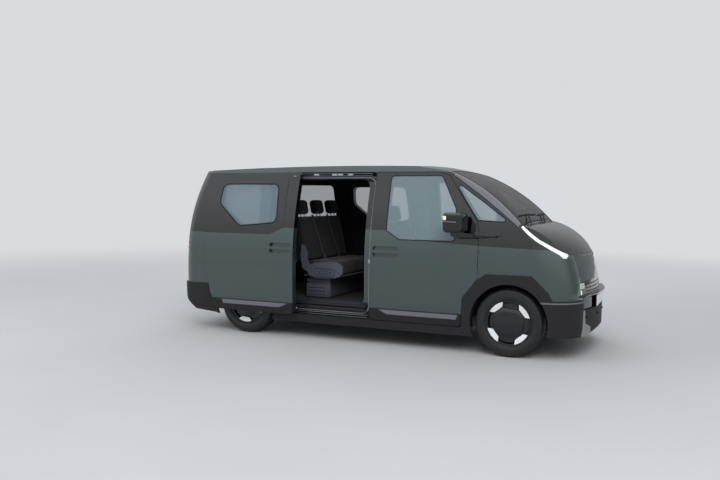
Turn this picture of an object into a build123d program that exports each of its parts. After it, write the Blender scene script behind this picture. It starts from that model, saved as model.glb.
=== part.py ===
"""Electric passenger van: a one-box body on a skateboard battery, with its doors, lids and wheels.

Frame: +X forward, +Y left, +Z up, millimetres. The origin is on the ground, midway along and across.
"""
import os

from build123d import *

os.makedirs("parts", exist_ok=True)

# Overall size
LENGTH = 4695
WIDTH = 1895
WHEELBASE = 2995
FRONT_OVERHANG = 775
GROUND_CLEARANCE = 165
FRONT_AXLE_X = LENGTH / 2 - FRONT_OVERHANG
REAR_AXLE_X = FRONT_AXLE_X - WHEELBASE
REAR_X = -LENGTH / 2
HALF_WIDTH = WIDTH / 2

# Wheels and tyres
TYRE_RADIUS = 335
TYRE_WIDTH = 215
RIM_RADIUS = 216
WHEEL_Y = 815
ARCH_RADIUS = 380
HUB_RADIUS = 62
STUB_RADIUS = 30
HUB_FACE = 8
RUNNING = 0.3
KINGPIN_Y = 780
KINGPIN_RADIUS = 10
WHEEL_TURN = {"front": 6, "rear": -38}

# Wheel houses: inner wall, then the outer end at the front and at the rear
FRONT_TUB_Y = 500
REAR_TUB_Y = 640
TUB_OUT_Y = 812
FRONT_TUB_OUT_Y = 893

# Socket for the towing eye in the front bumper
TOW_Y = -450
TOW_Z = 420
TOW_RADIUS = 10
TOW_BOTTOM_X = 2224

# Rail of the sliding doors in the rear quarters
RAIL_Z = (1080, 1110)
RAIL_DEPTH = 48
RAIL_REAR_X = -1960

# Panels
GAP = 5
DOOR_THICKNESS = 75
WALL = 120
SKIN = 45
GLASS = 5
GLASS_INSET = 2
CLADDING = 12
LINER = 5
LIP = 50
BUMPER_BULGE = 26
ROOF_HALF = 655
FLOOR_Z = 400
FLOOR_THICKNESS = 40
SILL_Z = 262
BELT_Z = 1100

# Door handles: recess and grip, and how deep each goes
FRONT_HANDLE_X = (140, 430)
SLIDING_HANDLE_X = (-185, 80)
HANDLE_ROOM_Z = (930, 1040)
HANDLE_GRIP_Z = (970, 1000)
HANDLE_CORNER = 24
HANDLE_DEPTH = 34
HANDLE_GRIP = 12

# Hinge knuckles that lie in the shut lines
KNUCKLE_RADIUS = 5
KNUCKLE_LENGTH = 24

# Steering
STEER_TOP_Z = TYRE_RADIUS + 118
STEER_LOW_Z = TYRE_RADIUS - 118

# How far the open sliding door stands back and out from its closed place
SLIDE_BACK = 865
SLIDE_OUT = 96

# Plan sections of the body: height, front, rear, half width at mid length and at the ends,
# front corner radius, rear corner radius, crown of the front
SECTIONS = (
    (100, LENGTH / 2 - LIP, REAR_X + 20, HALF_WIDTH - 30, HALF_WIDTH - 46, 330, 170, 75),
    (350, LENGTH / 2 - LIP, REAR_X + 14, HALF_WIDTH - 11, HALF_WIDTH - 28, 330, 170, 80),
    (720, LENGTH / 2 - LIP - 12, REAR_X + 14, HALF_WIDTH, HALF_WIDTH - 16, 330, 170, 85),
    (1060, LENGTH / 2 - LIP - 101, REAR_X + 30, HALF_WIDTH - 10, HALF_WIDTH - 26, 330, 160, 90),
    (1450, LENGTH / 2 - LIP - 236, REAR_X + 78, HALF_WIDTH - 80, HALF_WIDTH - 95, 330, 150, 95),
    (1830, LENGTH / 2 - LIP - 406, REAR_X + 190, HALF_WIDTH - 188, HALF_WIDTH - 200, 330, 140, 95),
    (1960, LENGTH / 2 - LIP - 476, REAR_X + 240, HALF_WIDTH - 235, HALF_WIDTH - 246, 330, 140, 95),
)
REAR_CROWN = 25

# Side profile of roof, screen and bonnet: x and z on the centre line, then how far back and how
# far down the same point lies at the side planes
PROFILE = {
    "roof_rear": (REAR_X - 80, 1850, 0, 58),
    "roof_mid": (-850, 1906, 0, 60),
    "roof_front": (520, 1898, 0, 55),
    "header": (740, 1874, 0, 45),
    "screen_top": (930, 1826, 0, 30),
    "screen_mid": (1345, 1608, 50, 10),
    "screen_base": (1710, 1296, 70, 4),
    "bonnet_mid": (2010, 1203, 150, 10),
    "bonnet_front": (2170, 1060, 190, 12),
    "nose": (2480, 540, 190, 12),
    "keel": (2480, 0, 190, 0),
    "keel_rear": (REAR_X - 80, 0, 0, 0),
}
SIDE_PLANE = 960

# Far enough to pass right through the body, and where the side panels end inboard
REACH = 1300
SIDE_DEPTH = 560


def plan_section(row, grow, lip):
    """Half of the body's plan outline, mirrored to a closed face."""
    z, front, rear, mid, end, front_radius, rear_radius, crown = row
    front = front + lip
    rear = rear - grow
    mid = mid + grow
    end = end + grow
    front_side = front - crown
    rear_side = rear + REAR_CROWN
    with BuildSketch(Plane.XY.offset(z)) as section:
        with BuildLine():
            ThreePointArc(
                (rear, 0), (rear + REAR_CROWN / 4, (end - rear_radius) / 2), (rear_side, end - rear_radius)
            )
            RadiusArc((rear_side, end - rear_radius), (rear_side + rear_radius, end), rear_radius)
            ThreePointArc(
                (rear_side + rear_radius, end),
                ((rear_side + rear_radius + front_side - front_radius) / 2, mid),
                (front_side - front_radius, end),
            )
            RadiusArc((front_side - front_radius, end), (front_side, end - front_radius), front_radius)
            ThreePointArc(
                (front_side, end - front_radius), (front - crown / 4, (end - front_radius) / 2), (front, 0)
            )
            mirror(about=Plane.XZ)
        make_face()
    return section.sketch


def side_profile(y, share):
    """Roof, screen and bonnet line at one distance from the centre line."""
    point = {name: (x - share * back, z - share * down) for name, (x, z, back, down) in PROFILE.items()}
    with BuildSketch(Plane.XZ.offset(-y)) as section:
        with BuildLine():
            ThreePointArc(point["roof_rear"], point["roof_mid"], point["roof_front"])
            ThreePointArc(point["roof_front"], point["header"], point["screen_top"])
            ThreePointArc(point["screen_top"], point["screen_mid"], point["screen_base"])
            ThreePointArc(point["screen_base"], point["bonnet_mid"], point["bonnet_front"])
            Line(point["bonnet_front"], point["nose"])
            Line(point["nose"], point["keel"])
            Line(point["keel"], point["keel_rear"])
            Line(point["keel_rear"], point["roof_rear"])
        make_face()
    return section.sketch


def moved(shape, x=0, y=0, z=0):
    """A copy of a shape, shifted."""
    return Pos(x, y, z) * shape


def outline(plane, points, radius=0, shrink=0):
    """A closed outline with its corners rounded, drawn in by a distance."""
    with BuildSketch(plane) as drawn:
        with BuildLine():
            Polyline(*points, close=True)
        make_face()
        if shrink:
            offset(amount=-shrink, kind=Kind.INTERSECTION, mode=Mode.REPLACE)
        if radius:
            fillet(drawn.vertices(), radius)
    return drawn.sketch


def right_prism(points, radius=0, shrink=0):
    """An outline in side view, swept through the right half of the van."""
    shape = outline(Plane.XZ.offset(SIDE_DEPTH), points, radius, shrink)
    return extrude(shape, amount=REACH, dir=(0, -1, 0), mode=Mode.PRIVATE)


def rear_prism(points, radius=0, shrink=0):
    """An outline in rear view, y and z, swept through the rear of the van."""
    shape = outline(Plane.YZ, points, radius, shrink)
    return extrude(shape, amount=LENGTH, dir=(-1, 0, 0), mode=Mode.PRIVATE)


def plan_prism(points, radius=0, shrink=0):
    """An outline in plan, swept through the height of the van."""
    shape = outline(Plane.XY, points, radius, shrink)
    return extrude(shape, amount=REACH * 2, dir=(0, 0, 1), mode=Mode.PRIVATE)


def box(x, y, z):
    """A block between two limits along each axis."""
    size = [high - low for low, high in (x, y, z)]
    middle = [(high + low) / 2 for low, high in (x, y, z)]
    return Pos(*middle) * Box(*size, mode=Mode.PRIVATE)


def cylinder_y(x, z, radius, y):
    """A cylinder that lies across the van, between two places."""
    place = Pos(x, (y[0] + y[1]) / 2, z) * Rot(90, 0, 0)
    return place * Cylinder(radius, abs(y[1] - y[0]), mode=Mode.PRIVATE)


def cylinder_x(y, z, radius, x):
    """A cylinder that lies along the van, between two places."""
    place = Pos((x[0] + x[1]) / 2, y, z) * Rot(0, 90, 0)
    return place * Cylinder(radius, x[1] - x[0], mode=Mode.PRIVATE)


def mirrored(shape):
    """The left-hand copy of a right-hand shape."""
    return mirror(shape, about=Plane.XZ, mode=Mode.PRIVATE)


def knuckles(places, direction, radius=KNUCKLE_RADIUS, middle=False):
    """Hinge knuckles on one pin: the two outer ones, or the middle one, at each place."""
    along = Vector(*direction).normalized()
    steps = (0,) if middle else (-1, 1)
    length = KNUCKLE_LENGTH - 2 * RUNNING if middle else KNUCKLE_LENGTH
    centres = [Vector(*place) + along * (step * KNUCKLE_LENGTH) for place in places for step in steps]
    return [
        Plane(origin=centre, z_dir=along) * Cylinder(radius, length, mode=Mode.PRIVATE)
        for centre in centres
    ]


def write(part, label):
    """Name a finished piece and store it."""
    part.label = label
    export_step(part, f"parts/{label}.step")


# The body's outer form: stacked plan sections, cut by the crowned roof, screen and bonnet
with BuildPart() as body_stack:
    loft([plan_section(row, 0, 0) for row in SECTIONS])

with BuildPart() as upper_form:
    loft([side_profile(-SIDE_PLANE, 1), side_profile(0, 0), side_profile(SIDE_PLANE, 1)])

outer = body_stack.part & upper_form.part

with BuildPart() as cladding_form:
    loft([plan_section(row, CLADDING, BUMPER_BULGE) for row in SECTIONS[:4]])

# Seams in side view: x and z of each corner
FRONT_DOOR_TOP = 1812
FRONT_DOOR_REAR = 110
FRONT_DOOR_FRONT = 1262
DOOR_BOTTOM = SILL_Z + GAP
FRONT_DOOR = (
    (FRONT_DOOR_REAR, DOOR_BOTTOM), (1096, DOOR_BOTTOM), (1112, 560), (FRONT_DOOR_FRONT, 754),
    (FRONT_DOOR_FRONT, 1230), (1238, 1322), (915, 1776), (800, FRONT_DOOR_TOP),
    (FRONT_DOOR_REAR, FRONT_DOOR_TOP),
)
FRONT_DOOR_WINDOW = ((286, 1208), (430, 1118), (1020, 1118), (1012, 1440), (836, 1770), (286, 1770))
FRONT_DOOR_OPENING = (
    (210, FLOOR_Z), (1040, FLOOR_Z), (1180, 720), (1180, 1300), (880, 1735), (210, 1735),
)
SLIDING_DOOR_REAR = -1062
SLIDING_DOOR = (
    (SLIDING_DOOR_REAR + 160, DOOR_BOTTOM), (FRONT_DOOR_REAR, DOOR_BOTTOM),
    (FRONT_DOOR_REAR, FRONT_DOOR_TOP), (SLIDING_DOOR_REAR, FRONT_DOOR_TOP),
    (SLIDING_DOOR_REAR, BELT_Z), (SLIDING_DOOR_REAR + 82, 470),
)
SLIDING_DOOR_WINDOW = ((-867, 1680), (-146, 1681), (-117, 1264), (-592, 1220), (-883, 1463))
SLIDING_DOOR_OPENING = ((-960, FLOOR_Z), (15, FLOOR_Z), (15, 1735), (-960, 1735))
QUARTER_GLASS = ((958, 1738), (1246, 1333), (1565, 1314))
REAR_QUARTER_WINDOW = ((-1960, 1215), (-1130, 1215), (-1130, 1700), (-1900, 1700))
TAILGATE = (
    (-812, 545), (812, 545), (812, 1120), (700, 1800), (-700, 1800), (-812, 1120),
)
TAILGATE_FRONT = -2000
TAILGATE_WINDOW = ((-730, 1130), (730, 1130), (640, 1700), (-640, 1700))
SCREEN_TOP_X = 905
SCREEN_BASE_X = 1665
SCREEN = (
    (SCREEN_TOP_X, -640), (SCREEN_TOP_X + 12, 0), (SCREEN_TOP_X, 640), (SCREEN_BASE_X, 790),
    (SCREEN_BASE_X + 20, 0), (SCREEN_BASE_X, -790),
)
BONNET_REAR_X = 1742
FASCIA_X = 1815
BUMPER_Z = 573
LAMP_Y = (510, 640)
LAMP_Z = (612, 738)
GRILLE_TOP = 748
LIP_Z = (592, LAMP_Z[0])
INSERT_LOW_Z = 468
REAR_BUMPER_X = -1835
REAR_BUMPER_Z = 535
FENDER_THICKNESS = 45
LAMP_INSET = 3
GRILLE_INSET = 10
LIP_SLOPE = 18
SKID_DEPTH = 30
FASCIA_THICKNESS = 55

# Upper and lower edge of the light strip that runs from the screen's foot to the nose
STRIP_TOP = ((1690, 1286), (1762, 1222), (1842, 1160), (2045, 1042), (2086, 1018), (2096, 1002))
STRIP_LOW = ((1674, 1268), (1746, 1197), (1830, 1134), (2025, 1016), (2062, 980), (2088, 976))

# Hinge pins: places on each axis
CLADDING_TOP = 392
DOOR_HINGE = (FRONT_DOOR_FRONT, -HALF_WIDTH + 7)
DOOR_HINGES = [(*DOOR_HINGE, 810), (*DOOR_HINGE, 1010)]
UP = (0, 0, 1)

TAILGATE_HINGE = (-2175, 1800)
TAILGATE_HINGES = [(TAILGATE_HINGE[0], y, TAILGATE_HINGE[1]) for y in (-420, 420)]
BONNET_HINGE = (BONNET_REAR_X, 1291)
BONNET_HINGES = [(BONNET_HINGE[0], y, BONNET_HINGE[1]) for y in (-260, 260)]
ACROSS = (0, 1, 0)

ALL_X = (-REACH * 2, REACH * 2)
ALL_Y = (-REACH, REACH)
RIGHT_Y = (-REACH, 0)
ALL_Z = (0, REACH * 2)
cladding_band = cladding_form.part & box(ALL_X, ALL_Y, (0, CLADDING_TOP))
door_inner = moved(outer, y=DOOR_THICKNESS)
wall_outer = moved(outer, y=DOOR_THICKNESS + GAP)
wall_inner = moved(outer, y=WALL)
glass_layer = moved(outer, y=GLASS_INSET) - moved(outer, y=GLASS_INSET + GLASS)
side_glass = glass_layer & box(ALL_X, RIGHT_Y, (1000, REACH * 2))


def rectangle(x, z):
    """The corners of an upright rectangle in side view."""
    return ((x[0], z[0]), (x[1], z[0]), (x[1], z[1]), (x[0], z[1]))


def door_panel(points, window, corner, window_corner):
    """A right-hand door: the whole thickness, its cladding band below and its window cut."""
    prism = right_prism(points, corner, GAP / 2)
    panel = ((outer & prism) + (cladding_band & prism)) - door_inner
    return panel - right_prism(window, window_corner)


def with_handle(panel, x):
    """A door panel with its handle: a recess, and the grip bar that bridges it."""
    room = right_prism(rectangle(x, HANDLE_ROOM_Z), HANDLE_CORNER) - moved(outer, y=HANDLE_DEPTH)
    grip = right_prism(rectangle((x[0] - 1, x[1] + 1), HANDLE_GRIP_Z)) & outer
    return (panel - room) + (grip - moved(outer, y=HANDLE_GRIP))


def leaves(places, x=(0, 0), y=(0, 0), z=(0, 0)):
    """The plates that join the middle knuckles to their panel, reaching from the pin."""
    return [
        box((px + x[0], px + x[1]), (py + y[0], py + y[1]), (pz + z[0], pz + z[1]))
        for px, py, pz in places
    ]


half_knuckle = KNUCKLE_LENGTH / 2 - RUNNING


def middle_room(places, direction):
    """The clearance round each middle knuckle, cut from the fixed panel."""
    return knuckles(places, direction, KNUCKLE_RADIUS + RUNNING, middle=True)


def outer_leaves(places, direction, **reach):
    """Leaves of the two outer knuckles at each place."""
    along = Vector(*direction)
    shifted = [Vector(*place) + along * (step * KNUCKLE_LENGTH) for place in places for step in (-1, 1)]
    return leaves([(place.X, place.Y, place.Z) for place in shifted], **reach)


def arch_cut(axle, tub_y):
    """The wheel arch in a side panel, wider inboard, where the wheel house ends."""
    opening = cylinder_y(axle, TYRE_RADIUS, ARCH_RADIUS, ALL_Y)
    house = cylinder_y(axle, TYRE_RADIUS, ARCH_RADIUS + LINER + 2, (-tub_y - RUNNING, tub_y + RUNNING))
    return opening + house


front_arch = arch_cut(FRONT_AXLE_X, FRONT_TUB_OUT_Y)
rear_arch = arch_cut(REAR_AXLE_X, TUB_OUT_Y)

# Front doors
with BuildPart() as front_door_right:
    add(with_handle(door_panel(FRONT_DOOR, FRONT_DOOR_WINDOW, 28, 35), FRONT_HANDLE_X))
    add(knuckles(DOOR_HINGES, UP, KNUCKLE_RADIUS + RUNNING), mode=Mode.SUBTRACT)
    add(leaves(DOOR_HINGES, x=(-16, 0), y=(-2, 14), z=(-half_knuckle, half_knuckle)))
    add(knuckles(DOOR_HINGES, UP, middle=True))

with BuildPart() as front_door_glass_right:
    add(side_glass & right_prism(FRONT_DOOR_WINDOW, 35, RUNNING))

# Mirror: a rounded head on a long foot, and the blade that carries the foot's line on to the fender
MIRROR_HEAD = ((966, 1165), (-1180, -970), (1212, 1404))
MIRROR_FOOT = (
    (1000, 1224), (1008, 1172), (1040, 1160), (1236, 1166), (1236, 1198), (1140, 1206), (1110, 1224),
)
BLADE = ((1271, 1168), (1271, 1199), (1489, 1192), (1478, 1178))
BLADE_PROUD = 16
foot_outline = outline(Plane.XZ.offset(880), MIRROR_FOOT, 6)
with BuildPart() as mirror_right:
    add(box(*MIRROR_HEAD))
    fillet(mirror_right.edges().filter_by(Axis.Y), 40)
    fillet(mirror_right.edges().group_by(Axis.Y)[0], 32)
    add(extrude(foot_outline, amount=130, dir=(0, -1, 0), mode=Mode.PRIVATE))
    add(front_door_right.part, mode=Mode.SUBTRACT)
    add(outer, mode=Mode.SUBTRACT)

# Sliding doors: the left one shut, the right one standing open, each with its roller arm in the rail
closed_door = with_handle(door_panel(SLIDING_DOOR, SLIDING_DOOR_WINDOW, 40, 70), SLIDING_HANDLE_X)
closed_glass = side_glass & right_prism(SLIDING_DOOR_WINDOW, 70, RUNNING)
ARM_Z = (RAIL_Z[0] + RUNNING, RAIL_Z[1] - RUNNING)
rail_slot = box((RAIL_REAR_X, SLIDING_DOOR_REAR), (-REACH, -HALF_WIDTH + RAIL_DEPTH), RAIL_Z)

with BuildPart() as sliding_door_right:
    add(moved(closed_door, x=-SLIDE_BACK, y=-SLIDE_OUT))
    arm_rear = SLIDING_DOOR_REAR - SLIDE_BACK + 10
    arm_y = (-HALF_WIDTH - SLIDE_OUT + 60, -HALF_WIDTH + RAIL_DEPTH - RUNNING)
    add(box((arm_rear, arm_rear + 36), arm_y, ARM_Z))

with BuildPart() as sliding_door_left:
    add(mirrored(closed_door))
    add(mirrored(box(
        (SLIDING_DOOR_REAR - 32, SLIDING_DOOR_REAR + 30),
        (-HALF_WIDTH + 30, -HALF_WIDTH + RAIL_DEPTH - RUNNING),
        ARM_Z,
    )))

with BuildPart() as sliding_door_glass:
    add(moved(closed_glass, x=-SLIDE_BACK, y=-SLIDE_OUT))
    add(mirrored(closed_glass))

# Body sides: inner wall with the door openings, rear quarter, roof rail, pillars and sill
SIDE_REGION = (
    (REAR_X - 10, REAR_BUMPER_Z), (REAR_BUMPER_X, REAR_BUMPER_Z), (REAR_BUMPER_X, SILL_Z),
    (1190, SILL_Z), (1190, 1000), (1238, 1322), (1700, 1322), (1700, 1900), (REAR_X - 10, 1950),
)
side_region = right_prism(SIDE_REGION)
side_doors = right_prism(FRONT_DOOR, 28, -GAP / 2) + right_prism(SLIDING_DOOR, 40, -GAP / 2)
screen_prism = plan_prism(SCREEN)
tailgate_zone = box((-LENGTH, TAILGATE_FRONT), ALL_Y, ALL_Z)
tailgate_prism = rear_prism(TAILGATE, 60, -GAP / 2) & tailgate_zone
roof_region = box((REAR_X, REACH), (-ROOF_HALF, ROOF_HALF), (1500, REACH * 2))

with BuildPart() as side_frame_right:
    add(((outer & side_region) - wall_inner - side_doors) + ((wall_outer & side_region) - wall_inner))
    add(right_prism(FRONT_DOOR_OPENING, 60), mode=Mode.SUBTRACT)
    add(right_prism(SLIDING_DOOR_OPENING, 90), mode=Mode.SUBTRACT)
    add(right_prism(QUARTER_GLASS, 20), mode=Mode.SUBTRACT)
    add(right_prism(REAR_QUARTER_WINDOW, 60), mode=Mode.SUBTRACT)
    add([screen_prism, tailgate_prism, roof_region, rail_slot], mode=Mode.SUBTRACT)
    add(cylinder_y(FRONT_AXLE_X, TYRE_RADIUS, ARCH_RADIUS + LINER + 2, RIGHT_Y), mode=Mode.SUBTRACT)
    add(rear_arch, mode=Mode.SUBTRACT)

with BuildPart() as quarter_glass:
    add(side_glass & right_prism(QUARTER_GLASS, 20, RUNNING))
    add(side_glass & right_prism(REAR_QUARTER_WINDOW, 60, RUNNING))
    mirror(about=Plane.XZ)

# Roof, screen and tailgate
with BuildPart() as roof_panel:
    add((outer & roof_region) - moved(outer, z=-SKIN))
    add([screen_prism, tailgate_prism], mode=Mode.SUBTRACT)
    add(middle_room(TAILGATE_HINGES, ACROSS), mode=Mode.SUBTRACT)
    add(outer_leaves(TAILGATE_HINGES, ACROSS, x=(-2, 34), y=(-half_knuckle, half_knuckle), z=(0, 20)))
    add(knuckles(TAILGATE_HINGES, ACROSS))

with BuildPart() as windscreen:
    add((outer & plan_prism(SCREEN, 0, RUNNING)) - moved(outer, z=-GLASS * 1.6))

tailgate_shell = outer - moved(outer, x=DOOR_THICKNESS)
tailgate_window = rear_prism(TAILGATE_WINDOW, 50)
with BuildPart() as tailgate:
    add(tailgate_shell & rear_prism(TAILGATE, 60, GAP / 2) & tailgate_zone)
    add(tailgate_window, mode=Mode.SUBTRACT)
    add(knuckles(TAILGATE_HINGES, ACROSS, KNUCKLE_RADIUS + RUNNING), mode=Mode.SUBTRACT)
    add(leaves(TAILGATE_HINGES, x=(-2, 34), y=(-half_knuckle, half_knuckle), z=(-20, 0)))
    add(knuckles(TAILGATE_HINGES, ACROSS, middle=True))

with BuildPart() as tailgate_glass:
    add(moved(outer, x=GLASS_INSET) - moved(outer, x=GLASS_INSET + GLASS))
    add(rear_prism(TAILGATE_WINDOW, 50, RUNNING) & tailgate_zone, mode=Mode.INTERSECT)

# Nose: bonnet, fascia, fenders, light strips, bumper
bonnet_line = (
    (1668, 1303), *STRIP_TOP, (REACH * 2, STRIP_TOP[-1][1]), (REACH * 2, REACH * 2), (1668, REACH * 2),
)


def across_prism(points, shrink=0):
    """An outline in side view, swept through the whole width of the van."""
    shape = outline(Plane.XZ.offset(-REACH), points, 0, shrink)
    return extrude(shape, amount=REACH * 2, dir=(0, -1, 0), mode=Mode.PRIVATE)


nose_sides = moved(outer, y=FASCIA_THICKNESS) & moved(outer, y=-FASCIA_THICKNESS)
nose_inner = nose_sides & moved(outer, x=-FASCIA_THICKNESS)
bonnet_zone = box((BONNET_REAR_X + GAP / 2, REACH * 2), ALL_Y, (800, REACH * 2))
strip_prism = across_prism((*STRIP_TOP, *reversed(STRIP_LOW)))
NOSE_X = (2000, LENGTH)
lamp_zone = box(NOSE_X, (-LAMP_Y[1], -LAMP_Y[0]), LAMP_Z)
lamp_zones = lamp_zone + mirrored(lamp_zone)
grille_zone = box(NOSE_X, (-LAMP_Y[0], LAMP_Y[0]), (LAMP_Z[0], GRILLE_TOP))
insert_zone = box(NOSE_X, (-LAMP_Y[1], LAMP_Y[1]), (INSERT_LOW_Z, LIP_Z[0]))

with BuildPart() as bonnet:
    add((outer & across_prism(bonnet_line, GAP / 2) & bonnet_zone) - moved(outer, z=-SKIN))
    add(knuckles(BONNET_HINGES, ACROSS, KNUCKLE_RADIUS + RUNNING), mode=Mode.SUBTRACT)
    add(leaves(BONNET_HINGES, x=(0, 16), y=(-half_knuckle, half_knuckle), z=(-20, 2)))
    add(knuckles(BONNET_HINGES, ACROSS, middle=True))

with BuildPart() as cowl_panel:
    add((outer & across_prism(bonnet_line)) - moved(outer, z=-SKIN))
    add(box((BONNET_REAR_X - GAP / 2, REACH * 2), ALL_Y, ALL_Z), mode=Mode.SUBTRACT)
    add(screen_prism, mode=Mode.SUBTRACT)
    add(middle_room(BONNET_HINGES, ACROSS), mode=Mode.SUBTRACT)
    add(outer_leaves(BONNET_HINGES, ACROSS, x=(-16, 0), y=(-half_knuckle, half_knuckle), z=(-20, 2)))
    add(knuckles(BONNET_HINGES, ACROSS))

fascia_line = ((FASCIA_X, BUMPER_Z), (FASCIA_X, 1400), (REACH * 2, 1400), (REACH * 2, BUMPER_Z))
with BuildPart() as front_fascia:
    add((outer & across_prism(fascia_line)) - nose_inner)
    add(across_prism(bonnet_line), mode=Mode.SUBTRACT)
    add([strip_prism, lamp_zones, grille_zone], mode=Mode.SUBTRACT)
    add(box(NOSE_X, (-LAMP_Y[1], LAMP_Y[1]), (0, LAMP_Z[0])), mode=Mode.SUBTRACT)
    add(front_arch, mode=Mode.SUBTRACT)

fender_line = (
    (1096, SILL_Z), (1112, 560), (FRONT_DOOR_FRONT, 754), (FRONT_DOOR_FRONT, 1230), (1238, 1322),
    (1570, 1322), (1640, 1345), (FASCIA_X, 1345), (FASCIA_X, SILL_Z),
)
with BuildPart() as fender_right:
    add((outer & right_prism(fender_line)) - moved(outer, y=FENDER_THICKNESS))
    add(right_prism(FRONT_DOOR, 28, -GAP / 2), mode=Mode.SUBTRACT)
    add([strip_prism, across_prism(bonnet_line), screen_prism], mode=Mode.SUBTRACT)
    add([side_frame_right.part, cowl_panel.part], mode=Mode.SUBTRACT)
    add(right_prism(QUARTER_GLASS, 20), mode=Mode.SUBTRACT)
    add(front_arch, mode=Mode.SUBTRACT)
    add((moved(outer, y=-BLADE_PROUD) & right_prism(BLADE)) - outer)
    add(middle_room(DOOR_HINGES, UP), mode=Mode.SUBTRACT)
    add(outer_leaves(DOOR_HINGES, UP, x=(0, 16), y=(-2, 22), z=(-half_knuckle, half_knuckle)))
    add(knuckles(DOOR_HINGES, UP))

with BuildPart() as light_strips:
    add((outer & strip_prism) - moved(outer, y=18) - screen_prism)
    add(box(ALL_X, (-REACH, -SIDE_DEPTH), ALL_Z), mode=Mode.INTERSECT)
    mirror(about=Plane.XZ)

with BuildPart() as headlamps:
    add((moved(outer, x=-LAMP_INSET) & lamp_zones) - nose_inner)

# Gloss panels between the lamps and behind the number plate, and the blade that parts them
with BuildPart() as nose_grilles:
    add((moved(outer, x=-GRILLE_INSET) & grille_zone) - nose_inner)
    add((outer & insert_zone) - nose_inner)

LIP_ROW = (LENGTH / 2 - LIP, REAR_X + 14, HALF_WIDTH - 4, HALF_WIDTH - 20, 330, 170, 84)
with BuildPart() as front_lip:
    loft([
        plan_section((LIP_Z[0], *LIP_ROW), 0, LIP - LIP_SLOPE),
        plan_section((LIP_Z[1], *LIP_ROW), 0, LIP),
    ])
    add(box(NOSE_X, (-LAMP_Y[1], LAMP_Y[1]), LIP_Z), mode=Mode.INTERSECT)
    add(nose_inner, mode=Mode.SUBTRACT)

bumper_line = (
    (1850, BUMPER_Z), (1850, 228), (2080, 222), (2262, 218), (LENGTH / 2, 268), (LENGTH / 2, BUMPER_Z),
)
bumper_inner = (
    moved(cladding_form.part, x=-FASCIA_THICKNESS * 2)
    & moved(cladding_form.part, y=FASCIA_THICKNESS)
    & moved(cladding_form.part, y=-FASCIA_THICKNESS)
)
# Satin corner pieces let into the bumper, in front view: y and z
SKID = (
    (-650, INSERT_LOW_Z), (-585, INSERT_LOW_Z), (-572, 335), (-430, 288), (-430, 180), (-690, 180),
    (-690, 235), (-665, 300),
)
skid_prism = extrude(outline(Plane.YZ.offset(NOSE_X[0]), SKID), amount=LENGTH, mode=Mode.PRIVATE)
skid_layer = cladding_form.part & across_prism(bumper_line)
skid_right = (skid_layer & skid_prism) - moved(cladding_form.part, x=-SKID_DEPTH)
skid_shapes = skid_right + mirrored(skid_right)

with BuildPart() as skid_plates:
    add(skid_shapes)

with BuildPart() as front_bumper:
    add((cladding_form.part & across_prism(bumper_line)) - bumper_inner)
    add(box(NOSE_X, (-LAMP_Y[1], LAMP_Y[1]), (INSERT_LOW_Z, 800)), mode=Mode.SUBTRACT)
    add([front_arch, skid_shapes], mode=Mode.SUBTRACT)
    add(cylinder_x(TOW_Y, TOW_Z, TOW_RADIUS, (TOW_BOTTOM_X, LENGTH / 2)), mode=Mode.SUBTRACT)

rear_line = (
    (REAR_BUMPER_X, REAR_BUMPER_Z), (REAR_BUMPER_X, 205), (-2110, 228), (REAR_X - 20, 420),
    (REAR_X - 60, REAR_BUMPER_Z),
)
rear_inner = (
    moved(cladding_form.part, x=FASCIA_THICKNESS * 2)
    & moved(cladding_form.part, y=FASCIA_THICKNESS)
    & moved(cladding_form.part, y=-FASCIA_THICKNESS)
)
with BuildPart() as rear_bumper:
    add((cladding_form.part & across_prism(rear_line)) - rear_inner)
    add(rear_arch, mode=Mode.SUBTRACT)

# Lower cladding: sills, and the raised bands round the wheel arches
FRONT_ARCH_BAND = (
    (1096 + GAP, 178), (1096 + GAP, 262), (1112 + GAP, 556), (FRONT_DOOR_FRONT + GAP, 750), (1345, 806),
    (1790, 806), (1950, 655), (1992, BUMPER_Z), (1850, BUMPER_Z), (1850, 225), (1700, 178),
)
REAR_ARCH_BAND = (
    (-1000, 178), (-1000, 262), (-1080, 640), (-1200, 790), (-1640, 790), (-1815, 600),
    (-1830, REAR_BUMPER_Z), (REAR_BUMPER_X, 205), (-1700, 178),
)
SILL_BAND = ((-1010, 178), (-1010, SILL_Z), (1110, SILL_Z), (1110, 178))
cladding_inner = moved(cladding_form.part, y=CLADDING * 5)
proud_layer = cladding_form.part - moved(outer, y=-RUNNING)

with BuildPart() as lower_cladding:
    add((cladding_form.part & right_prism(SILL_BAND)) - cladding_inner)
    add(proud_layer & (right_prism(FRONT_ARCH_BAND) + right_prism(REAR_ARCH_BAND)))
    add(right_prism(SLIDING_DOOR, 40, -GAP / 2), mode=Mode.SUBTRACT)
    add([front_arch, rear_arch], mode=Mode.SUBTRACT)
    add([front_bumper.part, rear_bumper.part], mode=Mode.SUBTRACT)
    mirror(about=Plane.XZ)

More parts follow.
